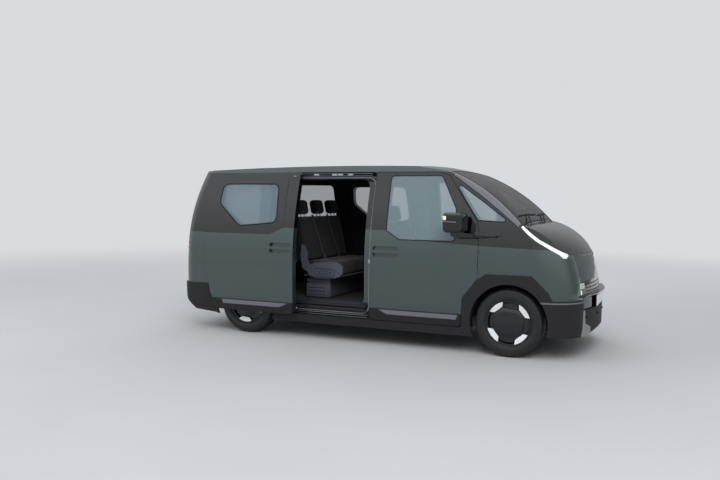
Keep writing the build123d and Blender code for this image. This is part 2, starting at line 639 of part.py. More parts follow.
# Floor with its bulkhead, and the wheel houses
FLOOR_HALF = HALF_WIDTH - WALL - 40
BULKHEAD_X = 1470
BULKHEAD_TOP = 1010
TUB_RADIUS = ARCH_RADIUS + LINER + 1
TUBS = ((FRONT_AXLE_X, FRONT_TUB_Y, FRONT_TUB_OUT_Y), (REAR_AXLE_X, REAR_TUB_Y, TUB_OUT_Y))
floor_bottom = FLOOR_Z - FLOOR_THICKNESS
with BuildPart() as floor_pan:
    add(box((-2180, 1190), (-FLOOR_HALF, FLOOR_HALF), (floor_bottom, FLOOR_Z)))
    add(box((1150, BULKHEAD_X), (-FRONT_TUB_Y, FRONT_TUB_Y), (floor_bottom, FLOOR_Z)))
    add(box((BULKHEAD_X, BULKHEAD_X + 30), (-FRONT_TUB_Y, FRONT_TUB_Y), (floor_bottom, BULKHEAD_TOP)))
    for axle, inner_y, _ in TUBS:
        for side in (-1, 1):
            ends = (side * (inner_y - RUNNING), side * REACH)
            add(cylinder_y(axle, TYRE_RADIUS, TUB_RADIUS + RUNNING, ends), mode=Mode.SUBTRACT)

with BuildPart() as wheel_houses:
    for axle, inner_y, outer_y in TUBS:
        for side in (-1, 1):
            shell = cylinder_y(axle, TYRE_RADIUS, TUB_RADIUS, (side * inner_y, side * outer_y))
            inside = (side * (inner_y + LINER), side * (outer_y + LINER))
            shell = shell - cylinder_y(axle, TYRE_RADIUS, TUB_RADIUS - LINER, inside)
            add(shell & box(ALL_X, ALL_Y, (floor_bottom, REACH)))
    arm_slot = box((FRONT_AXLE_X - 26, FRONT_AXLE_X + 26), ALL_Y, (floor_bottom, STEER_TOP_Z + 22))
    add(arm_slot, mode=Mode.SUBTRACT)

# Battery under the floor, and the motor over the front axle
BATTERY_X = (-960, 1080)
BATTERY_HALF = 640
MOTOR = ((1505, 1800), (-200, 260), (270, 560))
with BuildPart() as battery_pack:
    add(box(BATTERY_X, (-BATTERY_HALF, BATTERY_HALF), (GROUND_CLEARANCE, floor_bottom)))
    chamfer(battery_pack.edges().group_by(Axis.Z)[0], 30)

with BuildPart() as drive_motor:
    add(box(*MOTOR))
    fillet(drive_motor.edges().filter_by(Axis.Y), 60)

# Axles: fixed suspension arms, and the beam that carries the rear hubs
ARM_END_Y = KINGPIN_Y + 20
ARM_LOW = (STEER_LOW_Z - 16, STEER_LOW_Z)
ARM_TOP = (STEER_TOP_Z, STEER_TOP_Z + 14)


def kingpins(side, z, radius):
    """An upright pin on a front wheel's steering axis."""
    middle = (z[0] + z[1]) / 2
    return Pos(FRONT_AXLE_X, side * KINGPIN_Y, middle) * Cylinder(radius, z[1] - z[0], mode=Mode.PRIVATE)


SUBFRAME_HALF = 440
SUBFRAME_Z = (215, 265)
MOTOR_CRADLE = ((1510, 1790), (-190, 250), (200, MOTOR[2][0]))
LEG_X = (1160, 1260)
LEG_Y = (300, 380)
TOWER_Y = (405, 470)
with BuildPart() as front_suspension:
    add(box((1150, 1900), (-SUBFRAME_HALF, SUBFRAME_HALF), SUBFRAME_Z))
    add(box(*MOTOR_CRADLE))
    for side in (-1, 1):
        add(box(LEG_X, sorted((side * LEG_Y[0], side * LEG_Y[1])), (SUBFRAME_Z[1], floor_bottom)))
    for side in (-1, 1):
        reach = sorted((side * 400, side * ARM_END_Y))
        for arm in (ARM_LOW, ARM_TOP):
            add(box((FRONT_AXLE_X - 18, FRONT_AXLE_X + 18), reach, arm))
            add(kingpins(side, arm, KINGPIN_RADIUS + RUNNING), mode=Mode.SUBTRACT)
        tower = sorted((side * TOWER_Y[0], side * TOWER_Y[1]))
        add(box((FRONT_AXLE_X - 60, FRONT_AXLE_X + 60), tower, (240, 640)))

BEAM_HALF = 660
BEAM_RADIUS = 45
TRAILING_ARM_Y = (590, BEAM_HALF)
SPRING_Y = (530, TRAILING_ARM_Y[0])
with BuildPart() as rear_axle:
    add(cylinder_y(REAR_AXLE_X + 60, TYRE_RADIUS - 35, BEAM_RADIUS, (-BEAM_HALF, BEAM_HALF)))
    for side in (-1, 1):
        arm_y = sorted((side * TRAILING_ARM_Y[0], side * TRAILING_ARM_Y[1]))
        add(box((REAR_AXLE_X - 60, REAR_AXLE_X + 430), arm_y, (285, 345)))
        add(cylinder_y(REAR_AXLE_X, TYRE_RADIUS, HUB_RADIUS, (side * 652, side * (WHEEL_Y - HUB_FACE))))
        add(cylinder_y(REAR_AXLE_X, TYRE_RADIUS, STUB_RADIUS, (side * 740, side * (WHEEL_Y + 25))))
        spring = sorted((side * SPRING_Y[0], side * SPRING_Y[1]))
        add(box((REAR_AXLE_X + 40, REAR_AXLE_X + 100), spring, (TYRE_RADIUS - 35, floor_bottom)))

# Wheels: tyre and rim of one corner, set down at the four corners
TYRE_SIDES = 64
BEAD_RADIUS = RIM_RADIUS + RUNNING
SHOULDER_RADIUS = TYRE_RADIUS - 9
TYRE_OUTSIDE = (
    (-TYRE_WIDTH / 2, RIM_RADIUS + 75), (-92, SHOULDER_RADIUS), (-70, TYRE_RADIUS), (70, TYRE_RADIUS),
    (92, SHOULDER_RADIUS), (TYRE_WIDTH / 2, RIM_RADIUS + 75),
)
TYRE_BORE = (
    (-TYRE_WIDTH / 2, RIM_RADIUS + 40), (-90, BEAD_RADIUS), (90, BEAD_RADIUS),
    (TYRE_WIDTH / 2, RIM_RADIUS + 40),
)


def rings(places):
    """Upright many-sided rings across the van, each a place and a radius, flat side down."""
    sections = []
    for across, radius in places:
        with BuildSketch(Plane.XZ.offset(-across)) as ring:
            RegularPolygon(radius, TYRE_SIDES, major_radius=False, rotation=180 / TYRE_SIDES)
        sections.append(ring.sketch)
    return sections


with BuildPart() as tyre:
    loft(rings(TYRE_OUTSIDE), ruled=True)
    loft(rings(TYRE_BORE), ruled=True, mode=Mode.SUBTRACT)

DISC_Y = 28
FACE_RADIUS = RIM_RADIUS - 24
# White corner block in its own quarter: radius and angle each way of the diagonal
PAD_OUTER = (FACE_RADIUS + 16, 25)
PAD_INNER = (168, 15)


def polar(radius, degrees):
    """A point at a radius and an angle."""
    spot = Vector(radius, 0).rotate(Axis.Z, degrees)
    return (spot.X, spot.Y)


PAD = (
    polar(PAD_INNER[0], -PAD_INNER[1]), polar(PAD_OUTER[0], -PAD_OUTER[1]), polar(PAD_OUTER[0] + 4, -9),
    polar(PAD_OUTER[0] + 4, 9), polar(PAD_OUTER[0], PAD_OUTER[1]), polar(PAD_INNER[0], PAD_INNER[1]),
)
with BuildPart() as wheel:
    with BuildSketch(Plane.XY) as rim_section:
        with BuildLine():
            Polyline(
                (RIM_RADIUS, -90), (RIM_RADIUS, 90), (RIM_RADIUS - 22, 90), (RIM_RADIUS - 26, 20),
                (RIM_RADIUS - 26, -60), (RIM_RADIUS - 8, -84), (RIM_RADIUS - 6, -90), close=True,
            )
        make_face()
    revolve(axis=Axis.Y)
    with BuildSketch(Plane.XZ.offset(DISC_Y)) as disc:
        Circle(FACE_RADIUS)
        with PolarLocations(146, 4, start_angle=45):
            Rectangle(26, 120, mode=Mode.SUBTRACT)
    extrude(amount=16)
    with BuildSketch(Plane.XZ.offset(DISC_Y)) as arms:
        Rectangle(2 * FACE_RADIUS, 128)
        Rectangle(128, 2 * FACE_RADIUS)
        Circle(FACE_RADIUS, mode=Mode.INTERSECT)
    extrude(amount=34)
    with BuildSketch(Plane.XZ.offset(DISC_Y)) as cover:
        Rectangle(250, 250)
        chamfer(cover.vertices(), 66)
    extrude(amount=44)
    with BuildSketch(Plane.XZ.offset(DISC_Y)) as pads:
        with PolarLocations(0, 4, start_angle=45):
            add(outline(Plane.XY, PAD))
        Circle(RIM_RADIUS - 4, mode=Mode.INTERSECT)
    extrude(amount=44)
    with Locations(Plane.XZ.offset(RUNNING - HUB_FACE)):
        Cylinder(STUB_RADIUS + 24, HUB_FACE + DISC_Y, align=(Align.CENTER, Align.CENTER, Align.MIN))
    with BuildSketch(Plane.XZ.offset(DISC_Y - 60)) as bore:
        Circle(STUB_RADIUS + RUNNING)
    extrude(amount=86, mode=Mode.SUBTRACT)

with BuildPart() as knuckle_right:
    post_z = (STEER_LOW_Z + RUNNING, STEER_TOP_Z - RUNNING)
    add(box((FRONT_AXLE_X - 28, FRONT_AXLE_X + 28), (-WHEEL_Y + HUB_FACE, -WHEEL_Y + 62), post_z))
    add(cylinder_y(FRONT_AXLE_X, TYRE_RADIUS, HUB_RADIUS, (-WHEEL_Y + HUB_FACE, -WHEEL_Y + 70)))
    add(cylinder_y(FRONT_AXLE_X, TYRE_RADIUS, STUB_RADIUS, (-WHEEL_Y - 25, -WHEEL_Y + 10)))
    add(kingpins(-1, (ARM_LOW[0], post_z[0]), KINGPIN_RADIUS))
    add(kingpins(-1, (post_z[1], ARM_TOP[1]), KINGPIN_RADIUS))

# Cabin: dashboard, steering wheel, seats
DASHBOARD = ((1130, 1500), (-700, 700), (880, 1060))
with BuildPart() as dashboard:
    add(box(*DASHBOARD))
    fillet(dashboard.edges().filter_by(Axis.Y).group_by(Axis.X)[0], 40)
    add([floor_pan.part, wheel_houses.part], mode=Mode.SUBTRACT)

STEERING_WHEEL_RADIUS = 178
WHEEL_RIM_PLACE = Plane(origin=(1040, 380, 1010), z_dir=(-1, 0, 0.62))
with BuildPart() as steering_wheel:
    add(WHEEL_RIM_PLACE * Torus(STEERING_WHEEL_RADIUS, 15, mode=Mode.PRIVATE))
    add(WHEEL_RIM_PLACE * Box(2 * STEERING_WHEEL_RADIUS - 16, 44, 20, mode=Mode.PRIVATE))
    add(WHEEL_RIM_PLACE * Cylinder(60, 30, mode=Mode.PRIVATE))
    add(WHEEL_RIM_PLACE * Pos(0, 0, -75) * Cylinder(32, 130, mode=Mode.PRIVATE))
    add(dashboard.part, mode=Mode.SUBTRACT)


CUSHION_DEPTH = 520
CUSHION_THICKNESS = 160
BACKREST = (120, 560)
HEADREST = (90, 230, 150)


def seat(x, y, width, base_z, heads, lean=12):
    """One seat or bench: base, cushion, backrest and headrests."""
    base = box((x - 440, x - 160), (y - width / 2 + 60, y + width / 2 - 60), (FLOOR_Z, base_z))
    cushion_z = (base_z, base_z + CUSHION_THICKNESS)
    cushion = box((x - CUSHION_DEPTH, x), (y - width / 2, y + width / 2), cushion_z)
    back = Pos(x - CUSHION_DEPTH + 50, y, base_z + CUSHION_THICKNESS - 10) * Rot(0, -lean, 0)
    rest = back * Pos(-60, 0, 270) * Box(BACKREST[0], width, BACKREST[1], mode=Mode.PRIVATE)
    pads = [back * Pos(-55, head, 640) * Box(*HEADREST, mode=Mode.PRIVATE) for head in heads]
    posts = [back * Pos(-55, head, 560) * Box(20, 120, 60, mode=Mode.PRIVATE) for head in heads]
    shape = base + cushion
    for piece in (rest, *pads, *posts):
        shape = shape + piece
    return shape


with BuildPart() as front_seats:
    add(seat(820, -400, 500, 600, (0,)))
    add(seat(820, 400, 500, 600, (0,)))

with BuildPart() as rear_bench:
    add(seat(-390, 0, 1220, 650, (-385, 0, 385)))

# Tail lamps, on the rear corners
TAIL_LAMP = ((REAR_X - 20, 905), (-2215, 905), (-2215, 1088), (REAR_X - 20, 1088))
with BuildPart() as tail_lamps:
    add((outer & right_prism(TAIL_LAMP)) - moved(outer, x=18, y=18) - tailgate_prism)
    add(box(ALL_X, (-REACH, -820), ALL_Z), mode=Mode.INTERSECT)
    mirror(about=Plane.XZ)

with BuildPart() as side_right:
    add(side_frame_right.part)
    add(tail_lamps.part, mode=Mode.SUBTRACT)

for part, label in (
    (front_door_right, "front_door_right"),
    (front_door_glass_right, "front_door_glass_right"),
    (mirror_right, "mirror_right"),
    (sliding_door_right, "sliding_door_right"),
    (sliding_door_left, "sliding_door_left"),
    (sliding_door_glass, "sliding_door_glass"),
    (side_right, "side_frame_right"),
    (quarter_glass, "quarter_glass"),
    (roof_panel, "roof_panel"),
    (windscreen, "windscreen"),
    (tailgate, "tailgate"),
    (tailgate_glass, "tailgate_glass"),
    (bonnet, "bonnet"),
    (cowl_panel, "cowl_panel"),
    (front_fascia, "front_fascia"),
    (fender_right, "fender_right"),
    (light_strips, "light_strips"),
    (headlamps, "headlamps"),
    (nose_grilles, "nose_grilles"),
    (front_lip, "front_lip"),
    (skid_plates, "skid_plates"),
    (front_bumper, "front_bumper"),
    (rear_bumper, "rear_bumper"),
    (lower_cladding, "lower_cladding"),
    (floor_pan, "floor_pan"),
    (wheel_houses, "wheel_houses"),
    (battery_pack, "battery_pack"),
    (drive_motor, "drive_motor"),
    (front_suspension, "front_suspension"),
    (rear_axle, "rear_axle"),
    (knuckle_right, "knuckle_right"),
    (dashboard, "dashboard"),
    (steering_wheel, "steering_wheel"),
    (front_seats, "front_seats"),
    (rear_bench, "rear_bench"),
    (tail_lamps, "tail_lamps"),
):
    write(part.part, label)

for part, label in (
    (side_right, "side_frame_left"),
    (fender_right, "fender_left"),
    (front_door_right, "front_door_left"),
    (front_door_glass_right, "front_door_glass_left"),
    (mirror_right, "mirror_left"),
    (knuckle_right, "knuckle_left"),
):
    write(mirrored(part.part), label)

for side, turn, hand in ((-1, 0, "right"), (1, 180, "left")):
    for axle, end in ((FRONT_AXLE_X, "front"), (REAR_AXLE_X, "rear")):
        place = Pos(axle, side * WHEEL_Y, TYRE_RADIUS) * Rot(0, 0, turn)
        write(place * tyre.part, f"tyre_{end}_{hand}")
        write(place * Rot(0, WHEEL_TURN[end], 0) * wheel.part, f"wheel_{end}_{hand}")
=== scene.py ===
"""Electric passenger van: its finishes, tyres, seats and trim, and the studio it stands in.

Metres, +X forward, +Y to the van's left, +Z up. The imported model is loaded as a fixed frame.
"""

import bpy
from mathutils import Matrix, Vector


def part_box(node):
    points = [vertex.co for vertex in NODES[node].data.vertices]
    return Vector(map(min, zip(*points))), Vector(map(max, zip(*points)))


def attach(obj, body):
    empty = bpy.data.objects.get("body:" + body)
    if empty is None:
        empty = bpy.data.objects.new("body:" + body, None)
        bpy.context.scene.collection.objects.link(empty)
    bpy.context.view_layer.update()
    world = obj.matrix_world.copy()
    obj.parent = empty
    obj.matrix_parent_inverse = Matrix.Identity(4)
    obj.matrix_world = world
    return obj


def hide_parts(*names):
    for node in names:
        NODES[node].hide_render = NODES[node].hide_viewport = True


bl_info = {
    "name": "Electric Van Dressing",
    "version": (1, 0, 0),
    "blender": (4, 5, 0),
    "location": "View3D > Sidebar > Van",
    "description": "Finishes, tyres, seats and trim of an electric passenger van",
    "category": "Object",
}

from math import cos, pi, radians, sin, tan, tau

import bmesh
import bpy
from mathutils import Matrix, Vector
from mathutils.bvhtree import BVHTree

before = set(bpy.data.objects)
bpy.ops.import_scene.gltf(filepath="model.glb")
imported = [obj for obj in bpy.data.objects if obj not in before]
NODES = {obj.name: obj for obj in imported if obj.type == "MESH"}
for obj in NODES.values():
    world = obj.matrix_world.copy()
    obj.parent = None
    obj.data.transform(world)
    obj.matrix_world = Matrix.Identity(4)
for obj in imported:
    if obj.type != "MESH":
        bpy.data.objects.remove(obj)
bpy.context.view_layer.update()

MM = 0.001
ENDS = ("front", "rear")
HANDS = ("right", "left")
SIDES = (("right", -1), ("left", 1))
UNMOVED = (0.0, 0.0)

# Where things lie in the frame
TYRE_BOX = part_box("tyre_front_right")
TYRE_RADIUS = (TYRE_BOX[1].z - TYRE_BOX[0].z) / 2


def centre_of(node):
    """The middle of a node's box."""
    low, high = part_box(node)
    return (Vector(low) + Vector(high)) / 2


def pair(node):
    """The names of a node's right and left one."""
    return [f"{node}_{hand}" for hand in HANDS]


def linear(hexcode):
    """An sRGB hex colour as linear red, green, blue and alpha."""
    channels = [int(hexcode[i:i + 2], 16) / 255 for i in (1, 3, 5)]
    return [c / 12.92 if c <= 0.04045 else ((c + 0.055) / 1.055) ** 2.4 for c in channels] + [1.0]


def colour_prop(name, description, hexcode):
    """A colour setting, given as an sRGB hex value."""
    return bpy.props.FloatVectorProperty(
        name=name, description=description, subtype="COLOR", size=4, min=0, max=1, default=linear(hexcode)
    )


def length_prop(name, description, value):
    """A length setting in metres."""
    return bpy.props.FloatProperty(name=name, description=description, default=value, unit="LENGTH")


class VanFinishes(bpy.types.PropertyGroup):
    """Colours of the van's surfaces."""

    paint: colour_prop("Paint", "Grey-green metallic paint of the body", "#3b4747")
    black: colour_prop("Gloss black", "Gloss black of the glasshouse, bonnet and mirrors", "#08090b")
    cladding: colour_prop("Cladding", "Grained plastic of the sills, arches and bumpers", "#232224")
    silver: colour_prop("Satin band", "Satin band along the foot of the doors", "#6b6a70")
    # The pillar covers are real, but their grey is a painted reflection: it stands for the sky mirrored in
    # the black pillars.
    pillar: colour_prop("Pillar covers", "Satin covers beside the screen", "#60636a")
    skid: colour_prop("Skid corners", "Satin paint of the bumper's corner pieces", "#8d8b89")
    trim: colour_prop("Trim", "Moulded plastic inside the cabin", "#1c1d20")
    lining: colour_prop("Lining", "Knitted roof lining and pillar covers", "#55565a")
    fabric: colour_prop("Fabric", "Woven seat cloth", "#17171a")
    rubber: colour_prop("Rubber", "Tyres and seals", "#101011")
    insert: colour_prop("Wheel inserts", "White inserts of the wheels", "#dfe2e4")


class VanTyres(bpy.types.PropertyGroup):
    """Sizes of the tyres' tread."""

    groove_depth: length_prop("Groove depth", "Depth of the tread grooves", 0.007)
    groove_width: length_prop("Groove width", "Width of the grooves that run round the tyre", 0.009)
    blocks: bpy.props.IntProperty(
        name="Blocks", description="Shoulder blocks round one tyre", default=72, min=24, max=120
    )


class VanSeats(bpy.types.PropertyGroup):
    """How the seats are upholstered."""

    pressure: bpy.props.FloatProperty(
        name="Pressure", description="Inflation of the cushions while they are simulated", default=3.0
    )
    swell: length_prop("Swell", "The furthest that a cushion's surface may move", 0.014)
    voxel: length_prop("Voxel", "Grid of the cushion's mesh", 0.012)


class VanStudio(bpy.types.PropertyGroup):
    """The camera, the floor and the lamps."""

    camera_place: bpy.props.FloatVectorProperty(
        name="Camera", description="Where the camera stands", subtype="XYZ", unit="LENGTH",
        default=(3.210, -8.031, 1.532),
    )
    heading: bpy.props.FloatProperty(
        name="Heading", description="Turn of the view from across the van towards its tail",
        unit="ROTATION", default=0.4255,
    )
    tilt: bpy.props.FloatProperty(
        name="Tilt", description="Tilt of the view above the level", unit="ROTATION", default=-0.0558
    )
    roll: bpy.props.FloatProperty(
        name="Roll", description="Roll of the camera", unit="ROTATION", default=0.0100
    )
    lens: bpy.props.FloatProperty(
        name="Lens", description="Focal length on a sensor 36 mm wide", unit="CAMERA", default=37.17
    )
    floor: colour_prop("Floor", "Pale studio floor", "#b9bbbd")
    sky: colour_prop("Sky", "Light from all round", "#e8ecf0")


def settings(group):
    """One of the scene's setting groups."""
    return getattr(bpy.context.scene, group)


# Materials

# Inputs of a mix node: its two colours, and its two values
COLOUR_A, COLOUR_B = 6, 7
VALUE_A, VALUE_B = 2, 3


def add_node(tree, kind, inputs=(), **options):
    """A shader node with its options and inputs, which are named, numbered or given in order.

    An input is a value, a socket to link from, or a node, which stands for its first output in use.
    """
    made = tree.nodes.new("ShaderNode" + kind)
    for name, value in options.items():
        setattr(made, name, value)
    for name, value in inputs.items() if isinstance(inputs, dict) else enumerate(inputs):
        if isinstance(value, bpy.types.Node):
            value = next(output for output in value.outputs if output.enabled)
        if isinstance(value, bpy.types.NodeSocket):
            tree.links.new(value, made.inputs[name])
        else:
            made.inputs[name].default_value = value
    return made


def new_material(name):
    """An empty material, its tree, and the place on the object in metres."""
    material = bpy.data.materials.new(name)
    material.use_nodes = True
    tree = material.node_tree
    tree.nodes.clear()
    return material, tree, add_node(tree, "TexCoord").outputs["Object"]


def show(tree, surface):
    """Make a shader the surface of its material."""
    add_node(tree, "OutputMaterial", {"Surface": surface})


def shade(colour, factor):
    """A colour made lighter or darker."""
    return [min(c * factor, 1.0) for c in colour[:3]] + [1.0]


def blend(share, first, second):
    """The inputs of a mix between two colours."""
    return {"Factor": share, COLOUR_A: first, COLOUR_B: second}


def shades(share, colour, low, high):
    """The inputs of a mix between a darker and a lighter shade of one colour."""
    return blend(share, shade(colour, low), shade(colour, high))


def grain_of(place, size, detail=2.0):
    """The inputs of a noise whose features are about one size across, in metres."""
    return {"Vector": place, "Scale": 1 / size, "Detail": detail}


def rising(value, edge, soft=0.0004):
    """The inputs of a range that is nought below an edge and one above it."""
    return {"Value": value, "From Min": edge - soft, "From Max": edge + soft}


def falling(value, edge, soft=0.0004):
    """The inputs of a range that is one below an edge and nought above it."""
    return rising(value, edge, soft) | {"To Min": 1.0, "To Max": 0.0}


def polyline_height(tree, along, points, low, high):
    """A height that follows straight runs through points of (along, height), as a float curve."""
    top = max(height for _, height in points) * 1.1
    span = add_node(tree, "MapRange", {"Value": along, "From Min": low, "From Max": high})
    curve = add_node(tree, "FloatCurve", {"Value": span})
    track = curve.mapping.curves[0]
    places = [((x - low) / (high - low), height / top) for x, height in points]
    while len(track.points) < len(places):
        track.points.new(0.5, 0.5)
    for point, (x, y) in zip(track.points, places):
        point.location = (x, y)
        point.handle_type = "VECTOR"
    curve.mapping.update()
    return add_node(tree, "Math", (curve, top), operation="MULTIPLY")


# Lower edge of the gloss black along the side: x and z
BELT = (
    (-2.40, 1.130), (-0.189, 1.130), (-0.021, 1.206), (0.290, 1.206), (0.430, 1.112),
    (0.766, 1.105), (1.266, 1.078), (1.776, 1.063), (2.40, 1.050),
)
# Half width of the body's skin at each height
HALF_WIDTHS = (
    (0.0, 0.905), (0.35, 0.9365), (0.72, 0.9475), (1.06, 0.9375), (1.45, 0.8675), (1.83, 0.7595),
    (2.0, 0.70),
)
# Satin band at the foot of the doors: its lower edge, as x and z, and its top
BAND_LOW = (
    (-2.40, 0.384), (-0.805, 0.384), (-0.800, 0.337), (-0.060, 0.337), (0.047, 0.384),
    (0.215, 0.384), (0.310, 0.337), (1.050, 0.337), (1.055, 0.384), (2.40, 0.384),
)
BAND_TOP = 0.383
# Lower edge of the satin covers beside the screen: x and z; past its ends there is none
PILLAR_LINE = (
    (0.0, 1.95), (0.945, 1.95), (0.961, 1.779), (1.106, 1.678), (1.261, 1.572), (1.429, 1.443),
    (1.607, 1.300), (1.655, 1.258), (1.67, 1.95), (2.40, 1.95),
)
# How far in from the body's skin the satin covers and the sill's painted step reach
PILLAR_DEPTH = 0.125
SILL_DEPTH = 0.06
# The curves along the side span the van's length, and those of height reach past its roof
CURVE_END = 2.40
CURVE_TOP = 2.0
# Edges of the coloured regions: height of the roof's edge, of the cladding and of the sill's step,
# start of the black beside the screen, and the tail's inner face
ROOF_EDGE_Z = 1.8135
CLADDING_TOP = 0.392
SILL_STEP_TOP = 0.43
PILLAR_X = 0.93
TAIL_X = -2.12
DOWN = (0.0, 0.0, -1.0)
FORWARD = (1.0, 0.0, 0.0)
# How far the open sliding door stands back from its closed place
SLIDE_BACK = 0.865


def paint_material(name, slide=0.0, inside_depth=None, inside_normal=None, sill=False):
    """Metallic paint under clear lacquer, black above the belt line, plastic at its foot, trimmed inside.

    The flakes give a fine sparkle and the lacquer a sharp, faintly rippled reflection.
    """
    look = settings("van_finishes")
    material, tree, place = new_material(name)
    x, y, z = add_node(tree, "SeparateXYZ", (place,)).outputs
    along = add_node(tree, "Math", (x, slide), operation="ADD")
    skin = polyline_height(tree, z, HALF_WIDTHS, 0.0, CURVE_TOP)
    out = add_node(tree, "Math", (y,), operation="ABSOLUTE")
    depth = add_node(tree, "Math", (skin, out), operation="SUBTRACT")

    # Grey-green flakes, and gloss black above the belt line with satin covers beside the screen, whose grey
    # is a painted reflection of the sky
    flakes = add_node(tree, "TexNoise", grain_of(place, 1.2 * MM, 1.0))
    mottled = add_node(tree, "MapRange", {
        "Value": flakes, "From Min": 0.35, "From Max": 0.65, "To Min": 0.86, "To Max": 1.14,
    })
    base = add_node(tree, "Mix", shades(mottled, look.paint, 0.86, 1.14), data_type="RGBA")
    belt = polyline_height(tree, along, BELT, -CURVE_END, CURVE_END)
    over_belt = add_node(tree, "Math", (z, belt), operation="SUBTRACT")
    above = add_node(tree, "MapRange", rising(over_belt, 0.0))
    under_roof = add_node(tree, "MapRange", falling(z, ROOF_EDGE_Z))
    ahead = add_node(tree, "MapRange", rising(x, PILLAR_X, 0.004))
    where = add_node(tree, "Math", (under_roof, ahead), operation="MAXIMUM")
    black = add_node(tree, "Math", (above, where), operation="MULTIPLY")
    over_line = add_node(
        tree, "Math", (z, polyline_height(tree, x, PILLAR_LINE, 0.0, CURVE_END)), operation="SUBTRACT"
    )
    over_line = add_node(tree, "MapRange", rising(over_line, 0.0))
    near_skin = add_node(tree, "MapRange", falling(depth, PILLAR_DEPTH))
    cover = add_node(tree, "Math", (over_line, near_skin), operation="MULTIPLY")
    # The covers beside the screen take a grey that is a painted reflection of the sky.
    dark = add_node(tree, "Mix", blend(cover, look.black, look.pillar), data_type="RGBA")
    coloured = add_node(tree, "Mix", blend(black, base, dark), data_type="RGBA")
    painted = add_node(tree, "Math", (1.0, black), operation="SUBTRACT")
    metallic = add_node(tree, "Math", (painted, 0.55), operation="MULTIPLY")
    rough = add_node(tree, "Math", (black, -0.12, 0.30), operation="MULTIPLY_ADD")

    # The foot of the doors: grained plastic with a satin band that thins out at one end
    plastic = add_node(tree, "MapRange", falling(z, CLADDING_TOP))
    if sill:
        deep = add_node(tree, "MapRange", rising(depth, SILL_DEPTH))
        low = add_node(tree, "MapRange", falling(z, SILL_STEP_TOP))
        stepped = add_node(tree, "Math", (deep, low), operation="MULTIPLY")
        plastic = add_node(tree, "Math", (plastic, stepped), operation="MAXIMUM")
        band = 0.0
    else:
        band_low = polyline_height(tree, along, BAND_LOW, -CURVE_END, CURVE_END)
        over_low = add_node(tree, "Math", (z, band_low), operation="SUBTRACT")
        over_low = add_node(tree, "MapRange", rising(over_low, 0.0))
        under_top = add_node(tree, "MapRange", falling(z, BAND_TOP))
        band = add_node(tree, "Math", (over_low, under_top), operation="MULTIPLY")
    foot = add_node(tree, "Mix", blend(band, look.cladding, look.silver), data_type="RGBA")

    # Inside: moulded trim, or the knitted lining under the roof
    inside = 0.0
    if inside_normal is not None:
        normal = add_node(tree, "TexCoord").outputs["Normal"]
        facing = add_node(tree, "VectorMath", (normal, inside_normal), operation="DOT_PRODUCT")
        inside = add_node(tree, "MapRange", rising(facing, 0.4, 0.02))
    elif inside_depth is not None:
        inner = add_node(tree, "MapRange", rising(depth, inside_depth, 0.001))
        before_tail = add_node(tree, "MapRange", rising(x, TAIL_X))
        inside = add_node(tree, "Math", (inner, before_tail), operation="MULTIPLY")
    lining = look.lining if inside_normal == DOWN else look.trim
    grained = add_node(tree, "Math", (plastic, inside), operation="MAXIMUM")
    glossy = add_node(tree, "Math", (1.0, grained), operation="SUBTRACT")
    coloured = add_node(tree, "Mix", blend(plastic, coloured, foot), data_type="RGBA")
    coloured = add_node(tree, "Mix", blend(inside, coloured, lining), data_type="RGBA")
    pebbles = add_node(tree, "TexNoise", grain_of(place, 2.4 * MM))
    pebbles = add_node(tree, "Math", (pebbles, grained), operation="MULTIPLY")
    ripple = add_node(tree, "TexNoise", grain_of(place, 9 * MM, 0.0))
    show(tree, add_node(tree, "BsdfPrincipled", {
        "Base Color": coloured,
        "Metallic": add_node(tree, "Math", (metallic, glossy), operation="MULTIPLY"),
        "Roughness": add_node(tree, "Math", (grained, 0.24, rough), operation="MULTIPLY_ADD"),
        "Normal": add_node(tree, "Bump", {"Height": pebbles, "Distance": 0.25 * MM, "Strength": 0.6}),
        "Coat Weight": glossy,
        "Coat Normal": add_node(tree, "Bump", {"Height": ripple, "Distance": 0.02 * MM, "Strength": 0.25}),
        "Coat Roughness": 0.03,
        "Coat IOR": 1.5,
        "Specular IOR Level": 0.2,
    }))
    return material


def lacquer_material(name, colour, roughness=0.08):
    """Gloss lacquer over moulded ABS: a deep colour with a sharp reflection and slight ripple."""
    material, tree, place = new_material(name)
    cloud = add_node(tree, "TexNoise", grain_of(place, 60 * MM))
    ripple = add_node(tree, "TexNoise", grain_of(place, 10 * MM, 0.0))
    show(tree, add_node(tree, "BsdfPrincipled", {
        "Base Color": add_node(tree, "Mix", shades(cloud, colour, 0.92, 1.08), data_type="RGBA"),
        "Roughness": roughness,
        "IOR": 1.5,
        "Specular IOR Level": 0.1,
        "Coat Weight": 1.0,
        "Coat Roughness": 0.02,
        "Coat Normal": add_node(tree, "Bump", {"Height": ripple, "Distance": 0.02 * MM, "Strength": 0.25}),
    }))
    return material


